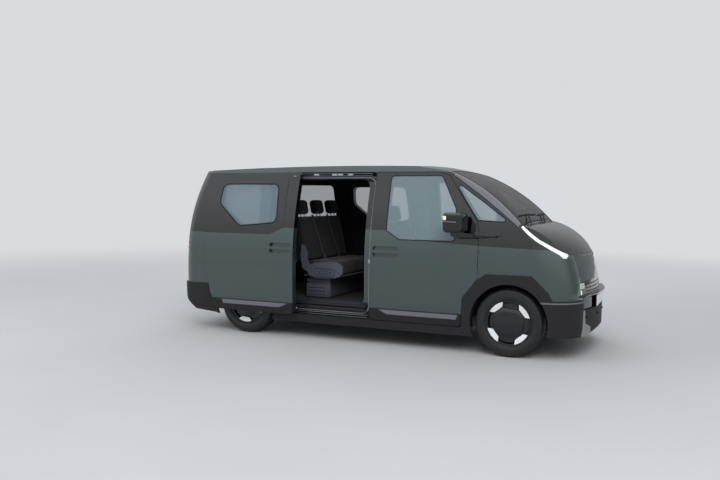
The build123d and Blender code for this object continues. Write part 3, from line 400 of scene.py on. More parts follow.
def grained_material(name, colour, grain, roughness=0.62, depth=0.10 * MM, ledge=None):
    """Grained moulded plastic: pebbled cells that scatter the light, slightly paler on their tops.

    A ledge is two heights between which the face takes the paler colour of the satin band.
    """
    material, tree, place = new_material(name)
    cells = add_node(tree, "TexVoronoi", {"Vector": place, "Scale": 1 / grain}, feature="SMOOTH_F1")
    cloud = add_node(tree, "TexNoise", grain_of(place, 80 * MM, 3.0))
    mixed = add_node(tree, "Mix", shades(cloud, colour, 0.88, 1.12), data_type="RGBA")
    if ledge is not None:
        z = add_node(tree, "SeparateXYZ", (place,)).outputs["Z"]
        above = add_node(tree, "MapRange", rising(z, ledge[0], 0.002))
        below = add_node(tree, "MapRange", falling(z, ledge[1], 0.002))
        toned = add_node(tree, "Math", (above, below), operation="MULTIPLY")
        silver = settings("van_finishes").silver
        mixed = add_node(tree, "Mix", blend(toned, mixed, silver), data_type="RGBA")
    show(tree, add_node(tree, "BsdfPrincipled", {
        "Base Color": mixed,
        "Roughness": add_node(
            tree, "MapRange", {"Value": cells, "To Min": roughness - 0.06, "To Max": roughness + 0.10}
        ),
        "IOR": 1.46,
        "Specular IOR Level": 0.3,
        "Normal": add_node(tree, "Bump", {"Height": cells, "Distance": depth, "Strength": 0.6}),
    }))
    return material


def fabric_material(name, colour, thread=1.6 * MM, sheen=0.15):
    """Woven polyester cloth: crossing threads, with a soft sheen at grazing angles."""
    material, tree, place = new_material(name)
    x, y, z = add_node(tree, "SeparateXYZ", (place,)).outputs
    waves = []
    for way in (y, add_node(tree, "Math", (x, z), operation="ADD")):
        turns = add_node(tree, "Math", (way, tau / thread), operation="MULTIPLY")
        waves.append(add_node(tree, "Math", (turns,), operation="SINE"))
    weave = add_node(tree, "Math", waves, operation="MULTIPLY")
    share = add_node(tree, "MapRange", {"Value": weave, "From Min": -1.0, "From Max": 1.0})
    cloud = add_node(tree, "TexNoise", grain_of(place, 25 * MM, 3.0))
    mixed = add_node(tree, "Mix", shades(share, colour, 0.72, 1.22), data_type="RGBA")
    toned = add_node(tree, "Math", (cloud, 0.25), operation="MULTIPLY")
    show(tree, add_node(tree, "BsdfPrincipled", {
        "Base Color": add_node(tree, "Mix", blend(toned, mixed, shade(colour, 0.6)), data_type="RGBA"),
        "Roughness": 0.92,
        "Specular IOR Level": 0.2,
        "Sheen Weight": sheen,
        "Sheen Roughness": 0.5,
        "Normal": add_node(tree, "Bump", {"Height": share, "Distance": 0.35 * MM, "Strength": 0.7}),
    }))
    return material


def glass_material(name, tint, density):
    """Tempered glass, tinted in the mass: it shows the cabin through a cool grey."""
    material, tree, place = new_material(name)
    cloud = add_node(tree, "TexNoise", grain_of(place, 300 * MM, 1.0))
    show(tree, add_node(tree, "BsdfPrincipled", {
        "Base Color": add_node(tree, "Mix", shades(cloud, tint, 0.94, 1.06), data_type="RGBA"),
        "Roughness": 0.0,
        "IOR": 1.5,
        "Specular IOR Level": 0.5,
        "Alpha": add_node(tree, "Math", (cloud, 0.01, density), operation="MULTIPLY_ADD"),
    }))
    return material


def metal_material(name, colour, roughness, grit=3 * MM, metallic=0.9):
    """Cast or rolled metal: bare, with a fine uneven surface that is darker in its low places and paler on
    its high ones.
    """
    material, tree, place = new_material(name)
    grain = add_node(tree, "TexNoise", grain_of(place, grit, 4.0))
    show(tree, add_node(tree, "BsdfPrincipled", {
        "Base Color": add_node(tree, "Mix", shades(grain, colour, 0.75, 1.2), data_type="RGBA"),
        "Metallic": metallic,
        "Roughness": add_node(
            tree, "MapRange", {"Value": grain, "To Min": roughness - 0.08, "To Max": roughness + 0.12}
        ),
        "Normal": add_node(tree, "Bump", {"Height": grain, "Distance": 0.15 * MM, "Strength": 0.5}),
    }))
    return material


def rubber_material():
    """Moulded tyre rubber: carbon black, dull, with a fine sandy surface and a little road dust."""
    look = settings("van_finishes")
    material, tree, place = new_material("MouldedTyreRubber")
    dust = add_node(tree, "TexNoise", grain_of(place, 40 * MM, 4.0))
    grain = add_node(tree, "TexNoise", grain_of(place, 1.5 * MM))
    show(tree, add_node(tree, "BsdfPrincipled", {
        "Base Color": add_node(tree, "Mix", shades(dust, look.rubber, 0.8, 1.6), data_type="RGBA"),
        "Roughness": add_node(tree, "MapRange", {"Value": dust, "To Min": 0.44, "To Max": 0.66}),
        "IOR": 1.52,
        "Normal": add_node(tree, "Bump", {"Height": grain, "Distance": 0.08 * MM, "Strength": 0.6}),
    }))
    return material


def lamp_material(name, colour, glow=0.0):
    """Lamp optics behind a polycarbonate cover: a ribbed diffuser with a clear, glossy face."""
    material, tree, place = new_material(name)
    ribs = add_node(
        tree, "TexWave", {"Vector": place, "Scale": 1 / (24 * MM), "Distortion": 0.0}, bands_direction="Z"
    ).outputs["Fac"]
    show(tree, add_node(tree, "BsdfPrincipled", {
        "Base Color": add_node(tree, "Mix", shades(ribs, colour, 0.8, 1.0), data_type="RGBA"),
        "Roughness": 0.18,
        "IOR": 1.58,
        "Coat Weight": 1.0,
        "Coat Roughness": 0.02,
        "Emission Color": colour,
        "Emission Strength": glow,
        "Normal": add_node(tree, "Bump", {"Height": ribs, "Distance": 0.3 * MM, "Strength": 0.4}),
    }))
    return material


# Depth of the painted shell of the body's side and of its doors, and heights of the bumper's ledge
SIDE_WALL = 0.100
DOOR_WALL = 0.062
BUMPER_LEDGE = (0.548, 0.562)


def put_on(material, *names):
    """Give CAD nodes one material."""
    for name in names:
        NODES[name].data.materials.clear()
        NODES[name].data.materials.append(material)


class VAN_OT_finish_body(bpy.types.Operator):
    """Give every carried-over piece its real finish."""

    bl_idname = "van.finish_body"
    bl_label = "Finish body"

    def execute(self, context):
        look = settings("van_finishes")
        side = paint_material("MetallicPaintBodySide", inside_depth=SIDE_WALL, sill=True)
        front_door = paint_material("MetallicPaintFrontDoor", inside_depth=DOOR_WALL)
        open_door = paint_material("MetallicPaintOpenDoor", slide=SLIDE_BACK)
        shut_door = paint_material("MetallicPaintShutDoor", inside_depth=DOOR_WALL)
        put_on(side, *pair("side_frame"))
        put_on(front_door, *pair("front_door"))
        put_on(open_door, "sliding_door_right")
        put_on(shut_door, "sliding_door_left")
        put_on(paint_material("MetallicPaintNose"), *pair("fender"), "front_fascia")
        put_on(paint_material("MetallicPaintTail", inside_normal=FORWARD), "tailgate")
        put_on(paint_material("MetallicPaintRoof", inside_normal=DOWN), "roof_panel")
        gloss = lacquer_material("GlossBlackLacquer", look.black)
        put_on(gloss, "bonnet", "cowl_panel", *pair("mirror"), "nose_grilles", "front_lip")
        cladding = grained_material("GrainedPolypropylene", look.cladding, 2.4 * MM)
        put_on(cladding, "lower_cladding", "rear_bumper", "wheel_houses")
        bumper = grained_material("GrainedBumperPolypropylene", look.cladding, 2.4 * MM, ledge=BUMPER_LEDGE)
        put_on(bumper, "front_bumper")
        put_on(metal_material("SatinSkidPaint", look.skid, 0.42, metallic=0.35), "skid_plates")
        trim = grained_material("MouldedCabinPlastic", look.trim, 1.8 * MM, 0.55)
        put_on(trim, "dashboard", "steering_wheel", "front_seats", "rear_bench")
        put_on(fabric_material("TuftedFloorCarpet", shade(look.trim, 0.8), 3.0 * MM, 0.05), "floor_pan")
        clear = glass_material("ClearTintedGlass", linear("#8ea2a9"), 0.36)
        put_on(clear, *pair("front_door_glass"), "quarter_glass")
        put_on(glass_material("TintedScreenGlass", linear("#070a09"), 0.74), "windscreen")
        put_on(glass_material("SlidingDoorGlass", linear("#7d919c"), 0.34), "sliding_door_glass")
        put_on(glass_material("PrivacyGlass", linear("#1a1f22"), 0.45), "tailgate_glass")
        put_on(lamp_material("WhiteLampDiffuser", linear("#eef2f5"), 0.25), "light_strips")
        put_on(lacquer_material("LampHousing", look.black, 0.15), "headlamps")
        put_on(lamp_material("RedLampDiffuser", linear("#4a0a0a"), 0.02), "tail_lamps")
        steel = metal_material("ForgedSteel", linear("#3a3b3d"), 0.55)
        put_on(steel, "front_suspension", "rear_axle", *pair("knuckle"))
        put_on(metal_material("CastAluminium", linear("#8b8d90"), 0.45), "battery_pack", "drive_motor")
        wheel = lacquer_material("GlossBlackWheel", look.black, 0.2)
        put_on(wheel, *pair("wheel_front"), *pair("wheel_rear"))
        put_on(rubber_material(), *pair("tyre_front"), *pair("tyre_rear"))
        return {"FINISHED"}


# Meshes


def new_piece(name, mesh, material, body, smooth=40):
    """A mesh object that rides on a body and wears the material it is given."""
    piece = bpy.data.objects.new(name, mesh)
    bpy.context.scene.collection.objects.link(piece)
    mesh.materials.clear()
    mesh.materials.append(material)
    mesh.polygons.foreach_set("use_smooth", [True] * len(mesh.polygons))
    if smooth:
        mesh.set_sharp_from_angle(angle=radians(smooth))
    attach(piece, body)
    return piece


def mesh_from(name, fill):
    """A mesh made by a function that fills a bmesh."""
    work = bmesh.new()
    fill(work)
    bmesh.ops.recalc_face_normals(work, faces=work.faces)
    mesh = bpy.data.meshes.new(name)
    work.to_mesh(mesh)
    work.free()
    return mesh


def fill_piece(name, fill, material, body, smooth=40):
    """A piece whose mesh is filled by a function."""
    return new_piece(name, mesh_from(name, fill), material, body, smooth)


def rounded_block(work, low, high, radius, segments=3, turn=None):
    """Add a block with rounded edges between two corners, turned about a place if asked."""
    size = [b - a for a, b in zip(low, high)]
    middle = [(a + b) / 2 for a, b in zip(low, high)]
    made = bmesh.ops.create_cube(work, size=1.0)
    verts = made["verts"]
    bmesh.ops.scale(work, vec=size, verts=verts)
    edges = list({edge for vert in verts for edge in vert.link_edges})
    bevelled = bmesh.ops.bevel(
        work, geom=edges, offset=radius, segments=segments, profile=0.5, affect="EDGES"
    )
    kept = {vert for vert in verts if vert.is_valid}
    verts = list({vert for face in bevelled["faces"] for vert in face.verts} | kept)
    bmesh.ops.translate(work, vec=middle, verts=verts)
    if turn is not None:
        bmesh.ops.transform(work, matrix=turn, verts=verts)
    return verts


def lathe(work, profile, segments, centre, change=None):
    """Turn a closed profile of (across, radius) round an axis that lies across the van."""
    rings = []
    for step_index in range(segments):
        angle = tau * step_index / segments
        ring = []
        for across, radius in profile:
            r = radius + (change(step_index, across, radius) if change else 0.0)
            ring.append(work.verts.new(centre + Vector((r * cos(angle), across, r * sin(angle)))))
        rings.append(ring)
    count = len(profile)
    for i in range(segments):
        here, there = rings[i], rings[(i + 1) % segments]
        for j in range(count):
            k = (j + 1) % count
            work.faces.new((here[j], there[j], there[k], here[k]))


def extrude_outline(work, outline, low, high, frame_of):
    """Add a prism between two heights from an outline in a plane; frame_of places its points."""
    bottom = [work.verts.new(frame_of(u, v, low)) for u, v in outline]
    top = [work.verts.new(frame_of(u, v, high)) for u, v in outline]
    work.faces.new(bottom)
    work.faces.new(list(reversed(top)))
    for i in range(len(outline)):
        j = (i + 1) % len(outline)
        work.faces.new((bottom[j], bottom[i], top[i], top[j]))


# Meshes that rays have met so far, and where rays from ahead, behind and above start
SURFACES = {}
FAR = 3.0


def hit(nodes, start, direction):
    """Where a ray first meets any of some nodes, and the normal there that faces the ray."""
    best = None
    for node in nodes:
        if node not in SURFACES:
            mesh = NODES[node].data
            SURFACES[node] = BVHTree.FromPolygons(
                [vert.co for vert in mesh.vertices], [face.vertices[:] for face in mesh.polygons]
            )
        place, normal, _, distance = SURFACES[node].ray_cast(Vector(start), Vector(direction))
        if place is not None and (best is None or distance < best[2]):
            best = (place, normal if normal.dot(Vector(direction)) < 0 else -normal, distance)
    return best


def rounded(points, radius, pitch=0.03):
    """A closed outline with its corners rounded, as points a short way apart."""
    ring = []
    for i, corner in enumerate(points):
        corner = Vector(corner)
        before = (Vector(points[i - 1]) - corner).normalized()
        after = (Vector(points[(i + 1) % len(points)]) - corner).normalized()
        half = before.angle(after) / 2
        centre = corner + (before + after).normalized() * (radius / sin(half))
        start = corner + before * (radius / tan(half)) - centre
        end = corner + after * (radius / tan(half)) - centre
        for share in range(7):
            ring.append(centre + start.lerp(end, share / 6).normalized() * radius)
    spaced = []
    for here, there in zip(ring, ring[1:] + ring[:1]):
        parts = max(1, round((there - here).length / pitch))
        spaced += [here.lerp(there, part / parts) for part in range(parts)]
    return spaced


def grown(points, amount):
    """Points of an outline pushed out from its middle."""
    middle = sum((Vector(p) for p in points), Vector((0, 0))) / len(points)
    return [Vector(p) + (Vector(p) - middle).normalized() * amount for p in points]


def sweep(work, path, normals, section, closed=True):
    """Carry a small section along a path; its points lie across the path and along the normals."""
    rings = []
    count = len(path)
    for i, (point, normal) in enumerate(zip(path, normals)):
        ahead = path[(i + 1) % count] if closed or i + 1 < count else point
        behind = path[i - 1] if closed or i else point
        along = (ahead - behind).normalized()
        across = along.cross(normal).normalized()
        outward = across.cross(along)
        rings.append([work.verts.new(point + across * u + outward * v) for u, v in section])
    for i in range(count if closed else count - 1):
        here, there = rings[i], rings[(i + 1) % count]
        for j in range(len(section)):
            k = (j + 1) % len(section)
            work.faces.new((here[j], here[k], there[k], there[j]))
    if not closed:
        work.faces.new(rings[0])
        work.faces.new(list(reversed(rings[-1])))


def moulding(width, height, sink=0.002):
    """A low domed section: its foot is sunk a little."""
    half = width / 2
    return (
        (-half, -sink), (half, -sink), (half, 0.35 * height), (0.55 * half, height),
        (-0.55 * half, height), (-half, 0.35 * height),
    )


def laid_path(rays, nodes):
    """Where rays meet some nodes, and the normals there; a ray that meets none is left out."""
    found = [place for place in (hit(nodes, start, direction) for start, direction in rays) if place]
    return [place[0] for place in found], [place[1] for place in found]


def side_path(points, nodes, hand, shift=UNMOVED):
    """Points of a side view, x and z, on the outer face of some nodes of one side."""
    side = dict(SIDES)[hand]
    return laid_path([((x + shift[0], side * 1.6, z), (0, -side, 0)) for x, z in points], nodes)


def level_ray(y, z, direction):
    """A ray along the van from outside it: forward, or with a direction of -1 backward."""
    return (-direction * FAR, y, z), (direction, 0, 0)


def front_path(points, nodes, direction):
    """Points of a front or rear view, y and z, on the face of some nodes."""
    return laid_path([level_ray(y, z, direction) for y, z in points], nodes)


def top_path(points, nodes):
    """Points of a plan, x and y, on the upper face of some nodes."""
    return laid_path([((x, y, FAR), (0, 0, -1)) for x, y in points], nodes)


def laid_block(work, found, width, height, thick, radius, sink=0.002, segments=3):
    """A rounded block laid on a surface where a ray met it: width level, height up the surface."""
    place, normal = found[0], found[1].normalized()
    level = Vector((0, 0, 1)).cross(normal)
    level = level.normalized() if level.length > 0.05 else Vector((0, 1, 0))
    up = normal.cross(level)
    axes = Matrix((level, up, normal)).transposed().to_4x4()
    rounded_block(
        work, (-width / 2, -height / 2, -sink), (width / 2, height / 2, thick), radius, segments,
        Matrix.Translation(place) @ axes
    )


def straight(start, end, parts):
    """Evenly spaced points from one place to another."""
    return [Vector(start).lerp(Vector(end), i / parts) for i in range(parts + 1)]


# Half of the tyre's section, from the bead out to the tread: radius, then distance from the middle
SIDEWALL = (
    (0.2166, 0.086), (0.2250, 0.094), (0.2300, 0.094), (0.2330, 0.098), (0.2360, 0.1010),
    (0.2385, 0.1000), (0.2450, 0.1035), (0.2580, 0.1065), (0.2720, 0.1074), (0.2880, 0.1060),
    (0.2890, 0.1073), (0.2925, 0.1070), (0.2935, 0.1052), (0.3040, 0.1036), (0.3050, 0.1044),
    (0.3100, 0.1026), (0.3150, 0.0995), (0.3235, 0.0950), (0.3295, 0.0880), (0.3330, 0.0790),
)
# Radii between which the shoulder blocks run out on the sidewall
SHOULDER = (0.3140, 0.3290)
# Places of the grooves on each side of the tread, and steps round the tyre for each block
GROOVES = (0.0170, 0.0500)
BLOCK_STEPS = 4


class VAN_OT_make_tyres(bpy.types.Operator):
    """Mould the four tyres, with grooves round the tread and blocks on the shoulders."""

    bl_idname = "van.make_tyres"
    bl_label = "Make tyres"

    def execute(self, context):
        tread = settings("van_tyres")
        material = rubber_material()
        half = [(y, r) for r, y in SIDEWALL] + [(0.0745, TYRE_RADIUS)]
        for middle in reversed(GROOVES):
            out, inside = middle + tread.groove_width / 2, middle - tread.groove_width / 2
            floor = TYRE_RADIUS - tread.groove_depth
            half += [(out, TYRE_RADIUS), (out - MM, floor), (inside + MM, floor), (inside, TYRE_RADIUS)]
        profile = half + [(-y, r) for y, r in reversed(half)]

        def block(step_index, across, radius):
            """Lateral grooves of the shoulders and finer ones of the middle ribs."""
            on_tread = radius > TYRE_RADIUS - 0.6 * MM
            if abs(across) > GROOVES[1] and radius > SHOULDER[1] and step_index % BLOCK_STEPS == 0:
                return -0.7 * tread.groove_depth
            if SHOULDER[0] < radius < SHOULDER[1] and step_index % BLOCK_STEPS == 0:
                return -0.4 * tread.groove_depth
            if on_tread and step_index % (2 * BLOCK_STEPS) == BLOCK_STEPS + 1:
                return -0.35 * tread.groove_depth
            return 0.0

        for end in ENDS:
            for hand in HANDS:
                node = f"tyre_{end}_{hand}"
                piece = fill_piece(
                    f"moulded_{node}",
                    lambda work: lathe(work, profile, tread.blocks * BLOCK_STEPS, centre_of(node), block),
                    material, f"wheel_{end}_{hand}_body"
                )
                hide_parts(node)
        return {"FINISHED"}


# White inserts of a wheel: angle of the first one round each hub, seen from the right
INSERT_TURNS = {"front_right": 39, "rear_right": 83, "front_left": 51, "rear_left": 7}
# Radius, then angle in degrees; the face stands that far out, and rises by a share of the radius
INSERT_CORNERS = (
    (0.171, -16.6), (0.2145, -22.5), (0.2150, -11), (0.2150, 0), (0.2150, 11), (0.2145, 22.5), (0.171, 16.6),
)
INSERT_FOOT = 0.060
INSERT_FACE = 0.0850
INSERT_RISE = 0.20
# The bevelled plate of a wheel's cover: half width, cut corner and distance out, from its foot to its face
COVER_STEPS = (
    (0.1400, 0.0537, 0.0700), (0.1400, 0.0537, 0.0755), (0.1110, 0.0400, 0.0885), (0.1080, 0.0390, 0.0890),
)
# Sections of the ring on a wheel's cover and of the rolled edge of its rim: distance out, then radius
CAP_RING = (
    (0.0884, 0.0250), (0.0896, 0.0254), (0.0900, 0.0262),
    (0.0900, 0.0272), (0.0896, 0.0280), (0.0884, 0.0284),
)
RIM_ROLL = (
    (0.0850, 0.2050), (0.0900, 0.2055), (0.0912, 0.2080),
    (0.0915, 0.2110), (0.0902, 0.2145), (0.0870, 0.2155),
)


class VAN_OT_make_wheel_faces(bpy.types.Operator):
    """Fit the wheels' white inserts, and the bare rings and lines of their covers."""

    bl_idname = "van.make_wheel_faces"
    bl_label = "Make wheel faces"

    def execute(self, context):
        look = settings("van_finishes")
        white = lacquer_material("WhiteInsertLacquer", look.insert, 0.25)
        satin = lacquer_material("GlossWheelCover", look.black, 0.12)
        outline = [(r * cos(radians(a)), r * sin(radians(a))) for r, a in INSERT_CORNERS]
        for end in ENDS:
            for hand, side in SIDES:
                centre = centre_of(f"tyre_{end}_{hand}")
                body = f"wheel_{end}_{hand}_body"

                def place(u, v, height, turn):
                    """A point of the wheel's face, turned about the hub."""
                    if height == INSERT_FACE:
                        height += INSERT_RISE * (Vector((u, v)).length - INSERT_CORNERS[0][0])
                    level, up = u * cos(turn) - v * sin(turn), u * sin(turn) + v * cos(turn)
                    return centre + Vector((level, side * height, up))

                def fill(work):
                    """Four inserts on the outer face."""
                    for quarter in range(4):
                        turn = radians(INSERT_TURNS[f"{end}_{hand}"]) + quarter * pi / 2
                        extrude_outline(
                            work, outline, INSERT_FOOT, INSERT_FACE,
                            lambda u, v, height, turn=turn: place(u, v, height, turn)
                        )

                piece = fill_piece(f"inserts_{end}_{hand}", fill, white, body, 30)
                bevel = piece.modifiers.new("edge", "BEVEL")
                bevel.width = 1.5 * MM
                bevel.segments = 3

                def fill_cap(work):
                    """The bevelled cover, a fine ring on it and a rolled edge on the rim."""
                    turn = radians(INSERT_TURNS[f"{end}_{hand}"] - 45)
                    rings = []
                    for half, cut, out in COVER_STEPS:
                        rim = []
                        for quarter in range(4):
                            for u, v in ((half, -half + cut), (half, half - cut)):
                                rim.append(work.verts.new(place(u, v, out, turn + quarter * pi / 2)))
                        rings.append(rim)
                    for below, top in zip(rings, rings[1:]):
                        for i in range(8):
                            work.faces.new((below[i], below[(i + 1) % 8], top[(i + 1) % 8], top[i]))
                    work.faces.new(rings[0])
                    work.faces.new(rings[-1])
                    lathe(work, [(side * a, r) for a, r in CAP_RING], 64, centre)
                    lathe(work, [(side * a, r) for a, r in RIM_ROLL], 96, centre)

                fill_piece(f"caps_{end}_{hand}", fill_cap, satin, body, 30)
        return {"FINISHED"}


# Seats

# Frames of the cloth's simulation, and the size of the sewn channels
CLOTH_FRAMES = 14
SEAM_DEPTH = 7 * MM
SEAM_WIDTH = 6 * MM


def simulate_padding(piece, start):
    """Inflate a closed cover as cloth, and keep how far each point moved within a limit."""
    seats = settings("van_seats")
    cloth = piece.modifiers.new("inflate", "CLOTH")
    cloth.settings.quality = 4
    cloth.settings.mass = 0.3
    cloth.settings.use_pressure = True
    cloth.settings.uniform_pressure_force = seats.pressure
    cloth.settings.effector_weights.gravity = 0.0
    scene = bpy.context.scene
    for moment in range(1, CLOTH_FRAMES + 1):
        scene.frame_set(moment)
    evaluated = piece.evaluated_get(bpy.context.evaluated_depsgraph_get())
    inflated = [vert.co.copy() for vert in evaluated.data.vertices]
    piece.modifiers.remove(cloth)
    scene.frame_set(1)
    for vert, target, origin in zip(piece.data.vertices, inflated, start):
        shift = target - origin
        if shift.length > seats.swell:
            shift = shift.normalized() * seats.swell
        vert.co = origin + shift


def pad_mesh(name, size, radius, taper=0.0):
    """A closed cover on a regular grid: a rounded block, narrower at its far end by the taper."""
    seats = settings("van_seats")

    def fill(work):
        """The rounded block."""
        verts = rounded_block(work, [-s / 2 for s in size], [s / 2 for s in size], radius, 4)
        for vert in verts:
            vert.co.y *= 1 - taper * (vert.co.x / size[0] + 0.5)

    mesh = mesh_from(name, fill)
    carrier = bpy.data.objects.new(name, mesh)
    bpy.context.scene.collection.objects.link(carrier)
    remesh = carrier.modifiers.new("grid", "REMESH")
    remesh.mode = "VOXEL"
    remesh.voxel_size = seats.voxel
    evaluated = carrier.evaluated_get(bpy.context.evaluated_depsgraph_get())
    gridded = bpy.data.meshes.new_from_object(evaluated)
    bpy.data.objects.remove(carrier)
    return gridded


def sewn(mesh, seams):
    """Press sewn channels into a pad; each seam gives a point's distance from its line."""
    normals = [vert.normal.copy() for vert in mesh.vertices]
    for vert, normal in zip(mesh.vertices, normals):
        near = min((abs(seam(vert.co)) for seam in seams), default=1.0)
        if near < 3 * SEAM_WIDTH:
            vert.co -= normal * SEAM_DEPTH * 2.718 ** (-((near / SEAM_WIDTH) ** 2))


def subdivided(mesh, levels):
    """A mesh smoothed by subdivision."""
    carrier = bpy.data.objects.new("subdivide", mesh)
    bpy.context.scene.collection.objects.link(carrier)
    modifier = carrier.modifiers.new("smooth", "SUBSURF")
    modifier.levels = levels
    evaluated = carrier.evaluated_get(bpy.context.evaluated_depsgraph_get())
    smoothed = bpy.data.meshes.new_from_object(evaluated)
    bpy.data.objects.remove(carrier)
    return smoothed


def padded_mesh(name, size, radius, seams, taper=0.0):
    """A simulated, subdivided and sewn pad round its own middle."""
    mesh = pad_mesh(name, size, radius, taper)
    carrier = bpy.data.objects.new(name, mesh)
    bpy.context.scene.collection.objects.link(carrier)
    simulate_padding(carrier, [vert.co.copy() for vert in mesh.vertices])
    mesh = carrier.data
    bpy.data.objects.remove(carrier)
    mesh = subdivided(mesh, 1)
    sewn(mesh, seams)
    return mesh


# Places of the seats: x of the cushion's front, y, and height of the cushion's underside
FRONT_SEATS = ((0.820, -0.400, 0.600), (0.820, 0.400, 0.600))
BENCH = (-0.390, 0.0, 0.650)
BENCH_PLACES = (-0.330, 0.070, 0.460)
BACK_LEAN = radians(12)
SEAT_DEPTH = 0.500
CUSHION_THICK = 0.140
FRONT_WIDTH = 0.480
BENCH_WIDTH = 1.200
BACK_HEIGHT = 0.540
BACK_THICK = 0.105
HEADREST = (0.085, 0.255, 0.172)
# Rounding of the pads' edges
CUSHION_ROUND = 0.045
BACK_ROUND = 0.040
# The backrest's hinge behind the cushion's front and above its underside, and the middles of the
# backrest and of a headrest from there
HINGE_BACK = 0.470
HINGE_RISE = 0.150
BACK_PLACE = (-0.062, 0, 0.275)
HEADREST_BACK = -0.055
HEADREST_RISE = 0.648
# How far a headrest's posts stand from its middle
POST_SPREAD = 0.045
# Top of the cabin's floor, on which the seats' bases stand
CABIN_FLOOR = 0.402
# Right side of the bench in side view: shield, cover of the recliner, pull and its slot; and the belts
BENCH_SHIELD = (
    (-0.809, 0.760), (-0.700, 0.806), (-0.537, 0.822), (-0.420, 0.820), (-0.352, 0.775), (-0.350, 0.700),
    (-0.390, 0.660), (-0.459, 0.640), (-0.690, 0.636), (-0.782, 0.669),
)
RECLINER_COVER = (
    (-0.875, 1.010), (-0.835, 0.985), (-0.800, 0.920), (-0.805, 0.860), (-0.770, 0.765), (-0.800, 0.700),
    (-0.865, 0.740), (-0.890, 0.880),
)
PULL_LOOP = ((-0.700, 0.754), (-0.455, 0.746), (-0.455, 0.662), (-0.672, 0.662))
PULL_SLOT = ((-0.650, 0.722), (-0.500, 0.718), (-0.500, 0.690), (-0.640, 0.690))
BELT_LINES = (((0.170, 0.545), (0.290, 0.030)), ((-0.215, 0.545), (-0.100, 0.030)))
# Section of a belt's webbing
WEBBING = ((-0.023, -0.0008), (0.023, -0.0008), (0.023, 0.0008), (-0.023, 0.0008))


